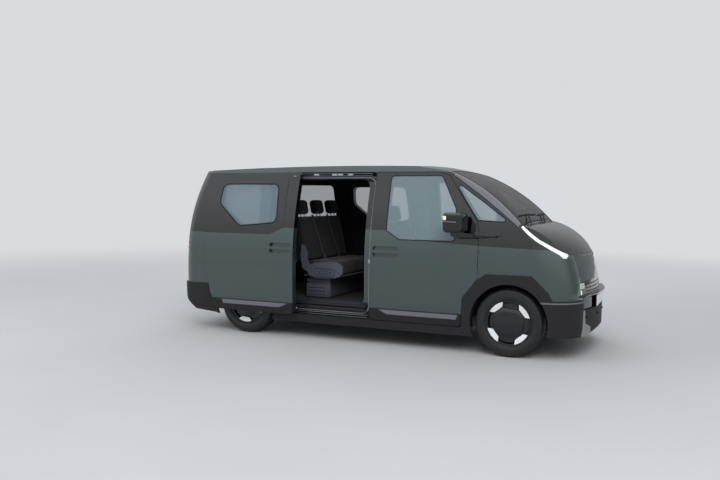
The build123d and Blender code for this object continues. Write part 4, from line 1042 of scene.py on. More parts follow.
class VAN_OT_make_seats(bpy.types.Operator):
    """Upholster the front seats and the bench: simulated pads with sewn channels, on plain frames."""

    bl_idname = "van.make_seats"
    bl_label = "Make seats"

    def execute(self, context):
        look = settings("van_finishes")
        self.cloth = fabric_material("WovenSeatCloth", look.fabric)
        self.plastic = grained_material("MouldedSeatShield", linear("#50525c"), 1.6 * MM, 0.45)
        self.chrome = metal_material("ChromedPost", linear("#c8cacc"), 0.15, 8 * MM)
        self.webbing = fabric_material("BenchBeltWebbing", linear("#35363a"), 1.4 * MM)
        channel = 0.42 * FRONT_WIDTH / 2
        across = [lambda p, c=c: p.x - c for c in (-0.13, 0.0, 0.13)]
        sides = [lambda p, c=c: p.y - c for c in (-channel, channel)]
        cushion = padded_mesh(
            "cushion", (SEAT_DEPTH, FRONT_WIDTH, CUSHION_THICK), CUSHION_ROUND, sides + across[::2]
        )
        back = padded_mesh(
            "backrest", (BACK_THICK, FRONT_WIDTH, BACK_HEIGHT), BACK_ROUND,
            sides + [lambda p: p.z + 0.08, lambda p: p.z - 0.08]
        )
        head = padded_mesh("headrest", HEADREST, BACK_ROUND, [])
        splits = [lambda p, c=c: p.y - c for c in (-0.13, 0.265)]
        bench = padded_mesh(
            "bench_cushion", (SEAT_DEPTH, BENCH_WIDTH, CUSHION_THICK), CUSHION_ROUND, splits + across[1:2]
        )
        bench_back = padded_mesh(
            "bench_backrest", (BACK_THICK, BENCH_WIDTH, BACK_HEIGHT), BACK_ROUND,
            splits + [lambda p: p.z - 0.02]
        )
        pads = (cushion, back, head)
        for hand, place in zip(HANDS, FRONT_SEATS):
            self.seat(f"front_seat_{hand}", place, pads, (0.0,), FRONT_WIDTH, "front_seats")
        self.seat("bench", BENCH, (bench, bench_back, head), BENCH_PLACES, BENCH_WIDTH, "rear_bench")
        return {"FINISHED"}

    def pad(self, name, mesh, turn, node):
        """One soft piece in its place."""
        placed = mesh.copy()
        placed.transform(turn)
        piece = new_piece(name, placed, self.cloth, "body", 0)
        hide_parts(node)

    def seat(self, name, place, pads, heads, width, node):
        """A seat or bench: cushion, backrest, headrests, and the rigid frame that carries them."""
        x, y, z = place
        cushion, back, head = pads
        half = width / 2
        lift = Matrix.Translation((x - SEAT_DEPTH / 2 - 0.008, y, z + 0.012 + CUSHION_THICK / 2))
        self.pad(f"{name}_cushion", cushion, lift, node)
        hinge = Matrix.Translation((x - HINGE_BACK, y, z + HINGE_RISE)) @ Matrix.Rotation(-BACK_LEAN, 4, "Y")
        self.pad(f"{name}_backrest", back, hinge @ Matrix.Translation(BACK_PLACE), node)
        for index, shift in enumerate(heads):
            at = hinge @ Matrix.Translation((HEADREST_BACK, shift, HEADREST_RISE))
            self.pad(f"{name}_headrest_{index + 1}", head, at, node)

        def frame_fill(work):
            """Base, tray, plate behind the backrest, and shields."""
            base, tray = y - half + 0.06, y - half + 0.01
            rounded_block(work, (x - 0.440, base, CABIN_FLOOR), (x - 0.160, y + half - 0.06, z - 0.004), 0.02)
            rounded_block(work, (x - 0.470, tray, z - 0.006), (x - 0.02, y + half - 0.01, z + 0.010), 0.006)
            rounded_block(work, (-0.118, -half + 0.02, 0.02), (-0.112, half - 0.02, 0.545), 0.002, 2, hinge)
            if node == "rear_bench":
                self.bench_side(work)
            else:
                for side in (-1, 1):
                    near, far = sorted((y + side * (half + 0.002), y + side * (half + 0.026)))
                    rounded_block(work, (x - 0.500, near, z + 0.005), (x - 0.130, far, z + 0.085), 0.010, 4)

        def posts(work):
            """Chromed posts of the headrests."""
            for shift in heads:
                for at in (shift - POST_SPREAD, shift + POST_SPREAD):
                    rounded_block(
                        work, (-0.061, at - 0.006, 0.535), (-0.049, at + 0.006, 0.585), 0.004, 3, hinge
                    )

        fill_piece(f"{name}_posts", posts, self.chrome, "body")

        def belts(work):
            """Webbing across the backrest, with its buckle at the cushion."""
            facing = hinge.to_3x3() @ Vector((1, 0, 0))
            for start, (across, up) in BELT_LINES:
                path = [hinge @ Vector((0.014, a, b)) for a, b in straight(start, (across, up), 6)]
                sweep(work, path, [facing] * len(path), WEBBING, False)
                low, high = (0.004, across - 0.018, up - 0.055), (0.030, across + 0.018, up + 0.010)
                rounded_block(work, low, high, 0.006, 3, hinge)

        if node == "rear_bench":
            fill_piece(f"{name}_belts", belts, self.webbing, "body")

        piece = fill_piece(f"{name}_frame", frame_fill, self.plastic, "body")
        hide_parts(node)

    def bench_side(self, work):
        """The bench's right side: shield with its pull, recliner cover, and the ribs of the base."""
        def across(u, v, height):
            """A point of a side view, that far out from the bench's side."""
            return Vector((u, -BENCH_WIDTH / 2 - height, v))

        extrude_outline(work, BENCH_SHIELD, 0.010, 0.034, across)
        extrude_outline(work, RECLINER_COVER, 0.006, 0.024, across)
        for outline, proud in ((PULL_LOOP, 0.008), (PULL_SLOT, 0.005)):
            path = [across(u, v, 0.034) for u, v in rounded(outline, 0.022)]
            sweep(work, path, [Vector((0, -1, 0))] * len(path), moulding(0.014, proud + 0.004))
        y = -BENCH_WIDTH / 2 + 0.060
        for low, high, out in ((0.405, 0.560, 0.012), (0.572, 0.612, 0.004)):
            rounded_block(work, (-0.850, y - out, low), (-0.575, y + 0.02, high), 0.010, 3)
        for z in (0.440, 0.478, 0.516):
            rounded_block(work, (-0.825, y - 0.022, z), (-0.600, y, z + 0.012), 0.004, 3)


# Outlines of the windows and doorways in side view, as x and z; of the screen in plan, as x and y;
# and of the tail's window from behind, as y and z
FRONT_WINDOW = (
    (0.286, 1.208), (0.430, 1.118), (1.020, 1.118), (1.012, 1.440), (0.836, 1.770), (0.286, 1.770),
)
SLIDING_WINDOW = ((-0.867, 1.680), (-0.146, 1.681), (-0.117, 1.264), (-0.592, 1.220), (-0.883, 1.463))
NOSE_WINDOW = ((0.958, 1.738), (1.246, 1.333), (1.565, 1.314))
REAR_WINDOW = ((-1.960, 1.215), (-1.130, 1.215), (-1.130, 1.700), (-1.900, 1.700))
FRONT_DOORWAY = (
    (0.210, 0.400), (1.040, 0.400), (1.180, 0.720), (1.180, 1.300), (0.880, 1.735), (0.210, 1.735),
)
SLIDING_DOORWAY = ((-0.985, 0.312), (0.072, 0.312), (0.086, 1.752), (-0.985, 1.752))
SCREEN = ((0.905, -0.640), (0.917, 0.0), (0.905, 0.640), (1.665, 0.790), (1.685, 0.0), (1.665, -0.790))
TAIL_WINDOW = ((-0.730, 1.130), (0.730, 1.130), (0.640, 1.700), (-0.640, 1.700))
OPEN_SHIFT = (-SLIDE_BACK, 0.0)


class VAN_OT_seal_windows(bpy.types.Operator):
    """Lay rubber seals round the windows, the screen and the doorways, along the roof and its pillars."""

    bl_idname = "van.seal_windows"
    bl_label = "Seal windows"

    def execute(self, context):
        look = settings("van_finishes")
        self.rubber = grained_material("ExtrudedSealRubber", look.rubber, 1.2 * MM, 0.5)
        # The side doorway's seal is real, but its pale colour is partly a painted highlight: the lit edge of
        # the doorway's paint.
        pale = grained_material("DoorwaySealPaintedHighlight", shade(look.silver, 1.4), 1.2 * MM, 0.6)
        thin, wide, lip = moulding(0.009, 0.0028), moulding(0.013, 0.003), moulding(0.014, 0.004)
        for hand in HANDS:
            door, frame_node, slider = f"front_door_{hand}", f"side_frame_{hand}", f"sliding_door_{hand}"
            fender = f"fender_{hand}"
            shift = OPEN_SHIFT if hand == "right" else UNMOVED
            for name, outline, radius, out, nodes, moved, section, body in (
                ("door_window_seal", FRONT_WINDOW, 0.035, 0.004, (door,), UNMOVED, thin, f"door_{hand}"),
                ("nose_window_seal", NOSE_WINDOW, 0.020, 0.004, (frame_node, fender), UNMOVED, thin, "body"),
                ("rear_window_seal", REAR_WINDOW, 0.060, 0.004, (frame_node,), UNMOVED, thin, "body"),
                ("sliding_window_seal", SLIDING_WINDOW, 0.070, 0.004, (slider,), shift, wide, "body"),
                ("front_doorway_seal", FRONT_DOORWAY, 0.060, 0.012, (frame_node,), UNMOVED, lip, "body"),
            ):
                laid = side_path(grown(rounded(outline, radius), out), nodes, hand, moved)
                self.seal(f"{name}_{hand}", laid, section, body)
            seam = [(-0.026, z) for z in (1.79, 1.60, 1.40, 1.215)]
            self.seal(f"pillar_seam_{hand}", side_path(seam, (slider,), hand, shift), moulding(0.006, 0.0015),
                      "body", False)
        # The side doorway's seal, made pale partly as a painted highlight.
        self.seal("sliding_doorway_seal", side_path(
            rounded(SLIDING_DOORWAY, 0.085), ("side_frame_right",), "right"),
            moulding(0.016, 0.013), "body", True, pale)
        upper = ("roof_panel", "cowl_panel", *pair("side_frame"), *pair("fender"))
        self.seal("screen_seal", top_path(grown(rounded(SCREEN, 0.004), 0.005), upper),
                  moulding(0.016, 0.003), "body")
        runs = zip(PILLAR_LINE[2:], PILLAR_LINE[3:-2])
        seam = [point for a, b in runs for point in straight(a, b, 6)[1:]]
        for hand in HANDS:
            laid = side_path(seam, (f"side_frame_{hand}", f"fender_{hand}"), hand)
            self.seal(f"pillar_cover_seam_{hand}", laid, moulding(0.007, 0.0018), "body", False)
        self.seal("tail_window_seal", front_path(
            grown(rounded(TAIL_WINDOW, 0.050), 0.004), ("tailgate",), 1), thin, "tailgate")
        for hand, side in SIDES:
            along = [(x, side * 0.655) for x in (-2.05, -1.75, -1.4, -1.0, -0.6, -0.2, 0.2, 0.55, 0.85)]
            laid = top_path(along, ("roof_panel", f"side_frame_{hand}"))
            self.seal(f"roof_moulding_{hand}", laid, moulding(0.014, 0.0025), "body", False)
        return {"FINISHED"}

    def seal(self, name, laid, section, body, closed=True, material=None):
        """One seal on its laid path."""
        material = material or self.rubber
        fill_piece(name, lambda work: sweep(work, *laid, section, closed), material, body, 50)


# Guide rails of the sliding door: height, outer face, and rear and front end; and their depth
RAILS = ((1.784, -0.806, -0.90, 0.075), (0.287, -0.905, -0.88, 0.070))
RAIL_DEPTH = 0.026
# Where the brackets sit along the upper rail, and their length
BRACKETS = (-0.62, -0.40, -0.33, -0.21)
BRACKET_LENGTH = 0.060
# Ribs of the step's scuff plate: how many, the first one's place and from one to the next
STEP_RIBS = 7
STEP_RIB_Y = -0.845
STEP_RIB_PITCH = 0.018


class VAN_OT_fit_doorway(bpy.types.Operator):
    """Fit the side doorway: rails, roller arms, step plate, striker and latch."""

    bl_idname = "van.fit_doorway"
    bl_label = "Fit doorway"

    def execute(self, context):
        look = settings("van_finishes")
        steel = metal_material("ZincPlatedSteel", linear("#a9abad"), 0.32, 2 * MM)
        dark = grained_material("MouldedSillPlate", linear("#2c2f3a"), 1.6 * MM, 0.42)
        black = grained_material("MouldedSillTread", look.cladding, 1.6 * MM, 0.5)

        def rails(work):
            """The upper and lower guide channels, the brackets on them, the striker and the roller arms."""
            for z, y, rear, front in RAILS:
                rounded_block(work, (rear, y, z + 0.010), (front, y + RAIL_DEPTH, z + 0.013), 0.0012, 2)
                rounded_block(work, (rear, y, z - 0.013), (front, y + RAIL_DEPTH, z - 0.010), 0.0012, 2)
            for x in BRACKETS:
                rounded_block(work, (x, -0.815, 1.774), (x + BRACKET_LENGTH, -0.782, 1.794), 0.003, 2)
            for z in (0.845, 0.885):
                rounded_block(work, (0.078, -0.905, z), (0.092, -0.862, z + 0.008), 0.003, 3)
            rounded_block(work, (0.074, -0.905, 0.845), (0.096, -0.898, 0.893), 0.003, 3)
            rounded_block(work, (-0.815, -0.990, 0.318), (-0.785, -0.868, 0.330), 0.004, 3)
            rounded_block(work, (-0.800, -0.905, 0.306), (-0.776, -0.880, 0.330), 0.010, 3)
            rounded_block(work, (-0.830, -0.890, 1.762), (-0.800, -0.795, 1.772), 0.004, 3)

        fill_piece("door_rails", rails, steel, "body")

        def step_plate(work):
            """The scuff plate of the step, with its ribs."""
            rounded_block(work, (-0.945, -0.862, 0.398), (0.005, -0.700, 0.405), 0.003, 3)
            for i in range(STEP_RIBS):
                y = STEP_RIB_Y + STEP_RIB_PITCH * i
                rounded_block(work, (-0.90, y, 0.404), (-0.04, y + 0.007, 0.408), 0.0015, 2)

        fill_piece("step_plate", step_plate, dark, "body")

        def sill(work):
            """The stepped tread below the doorway."""
            rounded_block(work, (-0.900, -0.886, 0.374), (0.040, -0.862, 0.397), 0.005, 3)
            rounded_block(work, (-0.900, -0.888, 0.330), (0.040, -0.864, 0.362), 0.004, 3)

        fill_piece("sill_tread", sill, black, "body")
        return {"FINISHED"}


# Number plates, lamps and their places: y and z
PLATE = (0.520, 0.112)
FRONT_PLATE_Z = 0.527
REAR_PLATE_Z = 0.800
LAMP_UPPER = ((0.535, 0.701), (0.577, 0.701), (0.615, 0.701))
LAMP_LOWER = ((0.606, 0.638),)
# Reflector of a lamp, the ribs in it and the block below: width, height, thickness and rounding
REFLECTOR = (0.036, 0.058, 0.005, 0.004)
REFLECTOR_RIB = (0.028, 0.011, 0.008, 0.002)
REFLECTOR_ROWS = (-0.017, 0.0, 0.017)
LAMP_BLOCK = (0.052, 0.044, 0.005, 0.004)
# Width of the bumpers' sensors, their places across the van and their heights
SENSOR = 0.024
FRONT_SENSORS = (-0.56, -0.20, 0.20, 0.56)
REAR_SENSORS = (-0.52, -0.18, 0.18, 0.52)
FRONT_SENSOR_Z = 0.400
REAR_SENSOR_Z = 0.470
# Sections of a wiper's blade and of the tailgate's handle
WIPER_BLADE = (
    (-0.003, 0.0005), (0.003, 0.0005), (0.007, 0.005), (0.005, 0.012), (-0.005, 0.012), (-0.007, 0.005),
)
HANDLE = (
    (-0.020, -0.008), (0.020, -0.008), (0.020, 0.004), (0.008, 0.020), (-0.014, 0.020), (-0.020, 0.006),
)


class VAN_OT_fit_nose(bpy.types.Operator):
    """Fit the nose: lamp units, blank number plate, sensors, wipers, cowl slats and bonnet tray."""

    bl_idname = "van.fit_nose"
    bl_label = "Fit nose"

    def execute(self, context):
        look = settings("van_finishes")
        chrome = metal_material("VaporisedLampChrome", linear("#dfe3e2"), 0.18, 6 * MM)
        white = lamp_material("MouldedLampLens", linear("#f4f7f8"), 0.35)
        black = grained_material("MouldedWiperPlastic", look.black, 1.0 * MM, 0.45)
        plate = lacquer_material("BlankPlateReflector", linear("#e6e8ea"), 0.35)
        nose = ("headlamps",)

        def upper(work):
            """Three stacked reflectors in each lamp."""
            for side in (-1, 1):
                for y, z in LAMP_UPPER:
                    laid_block(work, hit(nose, *level_ray(side * y, z, -1)), *REFLECTOR)
                    for row in REFLECTOR_ROWS:
                        found = hit(nose, *level_ray(side * y, z + row, -1))
                        laid_block(work, found, *REFLECTOR_RIB)

        def lower(work):
            """The bright block below them."""
            for side in (-1, 1):
                for y, z in LAMP_LOWER:
                    laid_block(work, hit(nose, *level_ray(side * y, z, -1)), *LAMP_BLOCK)

        fill_piece("lamp_reflectors", upper, chrome, "body")
        fill_piece("lamp_blocks", lower, white, "body")

        def bare_plate(work):
            """The blank plate, pressed with a raised rim."""
            x = hit(("nose_grilles",), *level_ray(0, FRONT_PLATE_Z, -1))[0].x
            half, tall = PLATE[0] / 2, PLATE[1] / 2
            low, high = (x + 0.010, -half, FRONT_PLATE_Z - tall), (x + 0.013, half, FRONT_PLATE_Z + tall)
            rounded_block(work, low, high, 0.0012, 2)
            wide, up = half - 0.006, tall - 0.006
            path = [
                Vector((x + 0.013, y, z + FRONT_PLATE_Z))
                for y, z in rounded(((-wide, -up), (wide, -up), (wide, up), (-wide, up)), 0.008)
            ]
            sweep(work, path, [Vector((1, 0, 0))] * len(path), moulding(0.004, 0.0012, 0.0005))

        fill_piece("front_plate", bare_plate, plate, "body")

        def holder(work):
            """The plate's holder, the sensors of the bumper and the slats between the lamps."""
            x = hit(("nose_grilles",), *level_ray(0, FRONT_PLATE_Z, -1))[0].x
            rounded_block(work, (x - 0.004, -0.268, 0.464), (x + 0.0105, 0.268, 0.588), 0.004, 3)
            for y in FRONT_SENSORS:
                found = hit(("front_bumper", "skid_plates"), *level_ray(y, FRONT_SENSOR_Z, -1))
                laid_block(work, found, SENSOR, SENSOR, 0.0025, 0.011, 0.002, 4)
            for i in range(3):
                z = 0.640 + 0.034 * i
                laid = front_path(straight((-0.47, z), (0.47, z), 20), ("nose_grilles",), -1)
                sweep(work, *laid, moulding(0.010, 0.004), False)

        fill_piece("nose_fittings", holder, black, "body")

        def wipers(work):
            """Two arms and blades at the foot of the screen, and the slats of the cowl."""
            glass = ("windscreen", "cowl_panel", *pair("fender"))
            for start, end, pivot in (
                ((1.600, -0.68), (1.632, -0.04), (1.712, -0.64)),
                ((1.640, 0.06), (1.606, 0.66), (1.726, 0.02)),
            ):
                sweep(work, *top_path(straight(start, end, 16), glass), WIPER_BLADE, False)
                middle = (Vector(start) + Vector(end)) / 2
                path, normals = top_path((pivot, middle), glass)
                lifted = straight(path[0] + normals[0] * 0.012, path[1] + normals[1] * 0.016, 6)
                sweep(work, lifted, [normals[1]] * 7, moulding(0.014, 0.007), False)
            for i in range(9):
                y = -0.52 + 0.13 * i
                laid = top_path(straight((1.705, y - 0.05), (1.705, y + 0.05), 4), ("cowl_panel",))
                sweep(work, *laid, moulding(0.008, 0.003), False)

        fill_piece("wipers", wipers, black, "body")
        tray = grained_material("MouldedBonnetTray", look.cladding, 2.4 * MM, 0.6)

        def bonnet_tray(work):
            """The moulded tray that closes the space under the bonnet: ribs, raised middle and filler cap."""
            rounded_block(work, (1.520, -0.600, 0.930), (2.110, 0.600, 0.942), 0.005, 2)
            for side in (-1, 1):
                for i in range(4):
                    y = side * (0.360 + 0.055 * i)
                    rounded_block(work, (1.560, y - 0.008, 0.940), (1.880, y + 0.008, 0.954), 0.004, 2)
            rounded_block(work, (1.600, -0.300, 0.935), (2.030, 0.300, 0.985), 0.025, 4)
            rounded_block(work, (1.925, -0.490, 0.935), (1.995, -0.420, 0.980), 0.030, 5)

        fill_piece("bonnet_tray", bonnet_tray, tray, "body")
        return {"FINISHED"}


# Blade that carries the line of a mirror's foot on over the fender, in side view: x and z
MIRROR_BLADE = (
    (1.204, 1.166), (1.204, 1.200), (1.300, 1.193), (1.425, 1.186), (1.452, 1.197), (1.462, 1.192),
    (1.455, 1.176), (1.430, 1.168), (1.300, 1.163),
)


class VAN_OT_fit_mirrors(bpy.types.Operator):
    """Fit the mirrors: silvered glass, side repeater, the shell's lines and the blade on the fender."""

    bl_idname = "van.fit_mirrors"
    bl_label = "Fit mirrors"

    def execute(self, context):
        look = settings("van_finishes")
        silvered = metal_material("SilveredMirrorGlass", linear("#c9ced2"), 0.10, 20 * MM, 1.0)
        lens = lamp_material("RepeaterLens", linear("#f3d9c4"), 0.30)
        line = metal_material("SatinTrimStrip", linear("#9a9ba0"), 0.35)
        seam = grained_material("MirrorSeamRubber", look.rubber, 1.0 * MM)
        gloss = lacquer_material("GlossMirrorBlade", look.black)
        for hand, side in SIDES:
            body = f"door_{hand}"
            node = (f"mirror_{hand}",)

            def glass(work):
                """The mirror glass on the rear face."""
                y = sorted((side * 0.995, side * 1.150))
                rounded_block(work, (0.9625, y[0], 1.238), (0.967, y[1], 1.378), 0.002, 2)

            fill_piece(f"mirror_glass_{hand}", glass, silvered, body)

            def repeater(work):
                """The repeater at the upper, outer, rear corner."""
                for start, direction, width in (
                    ((0.996, side * 2, 1.352), (0, -side, 0), 0.030),
                    ((0.0, side * 1.155, 1.352), (1, 0, 0), 0.026),
                ):
                    laid_block(work, hit(node, start, direction), width, 0.040, 0.004, 0.004)

            fill_piece(f"mirror_repeater_{hand}", repeater, lens, body)

            # The bright line at mid height, and the seam between the shell and its frame
            for name, start, end, parts, section, material, slot_name in (
                ("line", (0.975, 1.318), (1.110, 1.314), 8, moulding(0.005, 0.002), line, "frame_metal"),
                ("seam", (1.020, 1.395), (1.020, 1.325), 4, moulding(0.003, 0.0008), seam, "cladding"),
            ):
                laid = side_path(straight(start, end, parts), node, hand)
                fill_piece(
                    f"mirror_{name}_{hand}", lambda work: sweep(work, *laid, section, False),
                    material, body
                )

            def blade(work):
                """The blade on the fender: it stands out less towards its tip."""
                extrude_outline(work, MIRROR_BLADE, 0.0, 1.0, lambda x, z, out: Vector(
                    (x, side * (0.900 + out * (0.068 - 0.11 * (x - 1.200))), z)))

            piece = fill_piece(f"mirror_blade_{hand}", blade, gloss, "body")
            bevel = piece.modifiers.new("edge", "BEVEL")
            bevel.width = 4 * MM
            bevel.segments = 3
        return {"FINISHED"}


# Light guides of a tail lamp: heights, and how far across they begin and end
GUIDE_HEIGHTS = (0.940, 0.997, 1.054)
GUIDE_SPAN = (0.835, 0.893)
# Heights of the stop lamp and of the tailgate's handle, and half their widths
STOP_LAMP_Z, STOP_LAMP_HALF = 1.752, 0.19
HANDLE_Z, HANDLE_HALF = 0.892, 0.32


class VAN_OT_fit_tail(bpy.types.Operator):
    """Fit the tail: lamp guides, blank plate, handle, wiper, stop lamp, reflectors and sensors."""

    bl_idname = "van.fit_tail"
    bl_label = "Fit tail"

    def execute(self, context):
        look = settings("van_finishes")
        red = lamp_material("RedLightGuide", linear("#b01616"), 0.25)
        black = grained_material("MouldedTailPlastic", look.black, 1.0 * MM, 0.4)
        plate = lacquer_material("BlankRearPlate", linear("#e6e8ea"), 0.35)
        reflector = lamp_material("PrismaticReflector", linear("#7a1010"), 0.0)
        gate = ("tailgate",)

        def guides(work):
            """Three light guides in each tail lamp."""
            for side in (-1, 1):
                for z in GUIDE_HEIGHTS:
                    inner, outer = ((side * y, z) for y in GUIDE_SPAN)
                    laid = front_path(straight(inner, outer, 5), ("tail_lamps",), 1)
                    sweep(work, *laid, moulding(0.026, 0.003), False)

        fill_piece("tail_light_guides", guides, red, "body")

        def stop_lamp(work):
            """The high stop lamp."""
            ends = ((-STOP_LAMP_HALF, STOP_LAMP_Z), (STOP_LAMP_HALF, STOP_LAMP_Z))
            sweep(work, *front_path(straight(*ends, 12), gate, 1), moulding(0.016, 0.004), False)

        fill_piece("stop_lamp", stop_lamp, red, "tailgate")

        def plate_fill(work):
            """The blank rear plate."""
            laid_block(work, hit(gate, *level_ray(0, REAR_PLATE_Z, 1)), *PLATE, 0.009, 0.002, -0.005)

        fill_piece("rear_plate", plate_fill, plate, "tailgate")

        def fittings(work):
            """Plate holder, handle, and the rear wiper."""
            laid_block(work, hit(gate, *level_ray(0, REAR_PLATE_Z, 1)), 0.536, 0.126, 0.005, 0.003, 0.010)
            ends = ((-HANDLE_HALF, HANDLE_Z), (HANDLE_HALF, HANDLE_Z))
            sweep(work, *front_path(straight(*ends, 20), gate, 1), HANDLE, False)
            face = ("tailgate_glass", "tailgate")
            laid = front_path(straight((-0.30, 1.185), (0.26, 1.185), 16), face, 1)
            sweep(work, *laid, moulding(0.014, 0.013, 0.0), False)
            path, normals = front_path(straight((0.0, 1.110), (-0.02, 1.180), 4), face, 1)
            path = [point + normal * 0.012 for point, normal in zip(path, normals)]
            sweep(work, path, normals, moulding(0.022, 0.010), False)
            laid_block(work, hit(gate, *level_ray(0.0, 1.100, 1)), 0.052, 0.044, 0.022, 0.014, 0.004, 4)

        fill_piece("tailgate_fittings", fittings, black, "tailgate")

        def reflectors(work):
            """Reflectors of the rear bumper."""
            for side in (-1, 1):
                found = hit(("rear_bumper",), *level_ray(side * 0.70, 0.480, 1))
                laid_block(work, found, 0.110, 0.026, 0.004, 0.003)

        fill_piece("rear_reflectors", reflectors, reflector, "body")

        def sensors(work):
            """Sensors of the rear bumper."""
            for y in REAR_SENSORS:
                found = hit(("rear_bumper",), *level_ray(y, REAR_SENSOR_Z, 1))
                laid_block(work, found, SENSOR, SENSOR, 0.002, 0.011, 0.002, 4)

        fill_piece("rear_sensors", sensors, black, "body")
        return {"FINISHED"}


# Across the van, where the steering wheel's middle is
STEERING_Y = 0.38
# Path of a front belt down its pillar: y and z
PILLAR_BELT = ((0.745, 1.520), (0.775, 1.300), (0.795, 1.000), (0.805, 0.640))
# Section of a door's loudspeaker cover: distance out, then radius
SPEAKER = ((0.006, 0.004), (-0.006, 0.006), (-0.008, 0.050), (-0.012, 0.072), (-0.012, 0.080), (0.006, 0.086))


class VAN_OT_fit_cabin(bpy.types.Operator):
    """Fit the cabin: displays, dashboard fittings, door cards, belts, visors and inner mirror."""

    bl_idname = "van.fit_cabin"
    bl_label = "Fit cabin"

    def execute(self, context):
        look = settings("van_finishes")
        screen = lacquer_material("DisplayGlass", look.black, 0.05)
        soft = grained_material("SlushMouldedSkin", look.trim, 2.2 * MM, 0.6)
        lining = fabric_material("KnittedHeadlining", look.lining, 2.0 * MM)
        webbing = fabric_material("BeltWebbing", linear("#3a3b3f"), 1.4 * MM)

        def displays(work):
            """The instrument display and the larger middle display."""
            tilt = Matrix.Rotation(radians(-14), 4, "Y")
            for y, z, wide, tall in ((STEERING_Y, 1.105, 0.20, 0.095), (-0.02, 1.115, 0.30, 0.175)):
                turn = Matrix.Translation((1.155, y, z)) @ tilt
                low, high = (-0.008, -wide / 2, -tall / 2), (0.008, wide / 2, tall / 2)
                rounded_block(work, low, high, 0.005, 3, turn)

        fill_piece("displays", displays, screen, "body")

        def dash_parts(work):
            """Hood, vents, shelf and column switches on the dashboard, and the wheel's middle."""
            rounded_block(work, (1.135, 0.24, 1.050), (1.300, 0.52, 1.075), 0.010, 3)
            for y in (-0.60, -0.34, 0.16, 0.60):
                for i in range(4):
                    z = 0.985 + 0.014 * i
                    rounded_block(work, (1.118, y - 0.055, z), (1.140, y + 0.055, z + 0.006), 0.002, 2)
            rounded_block(work, (1.085, -0.69, 0.935), (1.150, -0.02, 0.955), 0.009, 3)
            for side in (-1, 1):
                near, far = STEERING_Y + side * 0.05 - 0.006, STEERING_Y + side * 0.19
                rounded_block(work, (1.090, near, 0.965), (1.102, far, 0.975), 0.004, 3)
            turn = Matrix.Translation((1.026, STEERING_Y, 1.018)) @ Matrix.Rotation(radians(-58), 4, "Y")
            rounded_block(work, (-0.050, -0.062, -0.010), (0.046, 0.062, 0.012), 0.012, 4, turn)

        fill_piece("dashboard_fittings", dash_parts, soft, "body")
        for hand, side in SIDES:
            self.door_card(hand, side, soft)

        def visors(work):
            """Sun visors and the inner mirror below the header."""
            for side in (-1, 1):
                turn = Matrix.Translation((0.860, side * 0.36, 1.792)) @ Matrix.Rotation(radians(12), 4, "Y")
                rounded_block(work, (-0.080, -0.20, -0.009), (0.080, 0.20, 0.009), 0.008, 3, turn)
            turn = Matrix.Translation((0.960, 0.0, 1.700)) @ Matrix.Rotation(radians(-8), 4, "Y")
            rounded_block(work, (-0.010, -0.115, -0.034), (0.012, 0.115, 0.034), 0.010, 4, turn)
            rounded_block(work, (-0.004, -0.010, 0.020), (0.014, 0.010, 0.078), 0.004, 3, turn)

        fill_piece("visors", visors, lining, "body")

        def belts(work):
            """Belts of the front seats, down the middle pillars."""
            for side in (-1, 1):
                path = [Vector((0.110, side * y, z)) for y, z in PILLAR_BELT]
                sweep(work, path, [Vector((0.2, -side, 0)).normalized()] * 4, WEBBING, False)

        fill_piece("front_belts", belts, webbing, "body", 0)
        return {"FINISHED"}

    def door_card(self, hand, side, material):
        """Armrest, pull and speaker of a front door, and the armrest of the shut sliding door."""
        def card(work):
            """The front door's inner fittings."""
            y = sorted((side * 0.815, side * 0.880))
            rounded_block(work, (0.330, y[0], 0.805), (0.900, y[1], 0.862), 0.018, 4)
            rounded_block(work, (0.560, y[0], 0.862), (0.780, side * 0.845 + 0.012, 0.890), 0.010, 3)
            y = sorted((side * 0.835, side * 0.878))
            rounded_block(work, (0.300, y[0], 0.470), (0.980, y[1], 0.585), 0.016, 4)
            centre = Vector((0.960, side * 0.868, 0.680))
            lathe(work, [(side * a, r) for a, r in SPEAKER], 48, centre)

        fill_piece(f"door_card_{hand}", card, material, f"door_{hand}")
        if hand == "left":
            def rest(work):
                """The shut sliding door's armrest."""
                rounded_block(work, (-0.800, 0.790, 0.790), (-0.160, 0.868, 0.845), 0.018, 4)

            fill_piece("sliding_door_armrest", rest, material, "body")


# Coil springs: place, height, radius, wire, turns and steps along the wire
SPRING_X, SPRING_Y, SPRING_Z = 1.5725, 0.520, 0.300
SPRING_HEIGHT = 0.26
SPRING_RADIUS = 0.052
SPRING_WIRE = 0.006
SPRING_TURNS = 5
SPRING_STEPS = 120


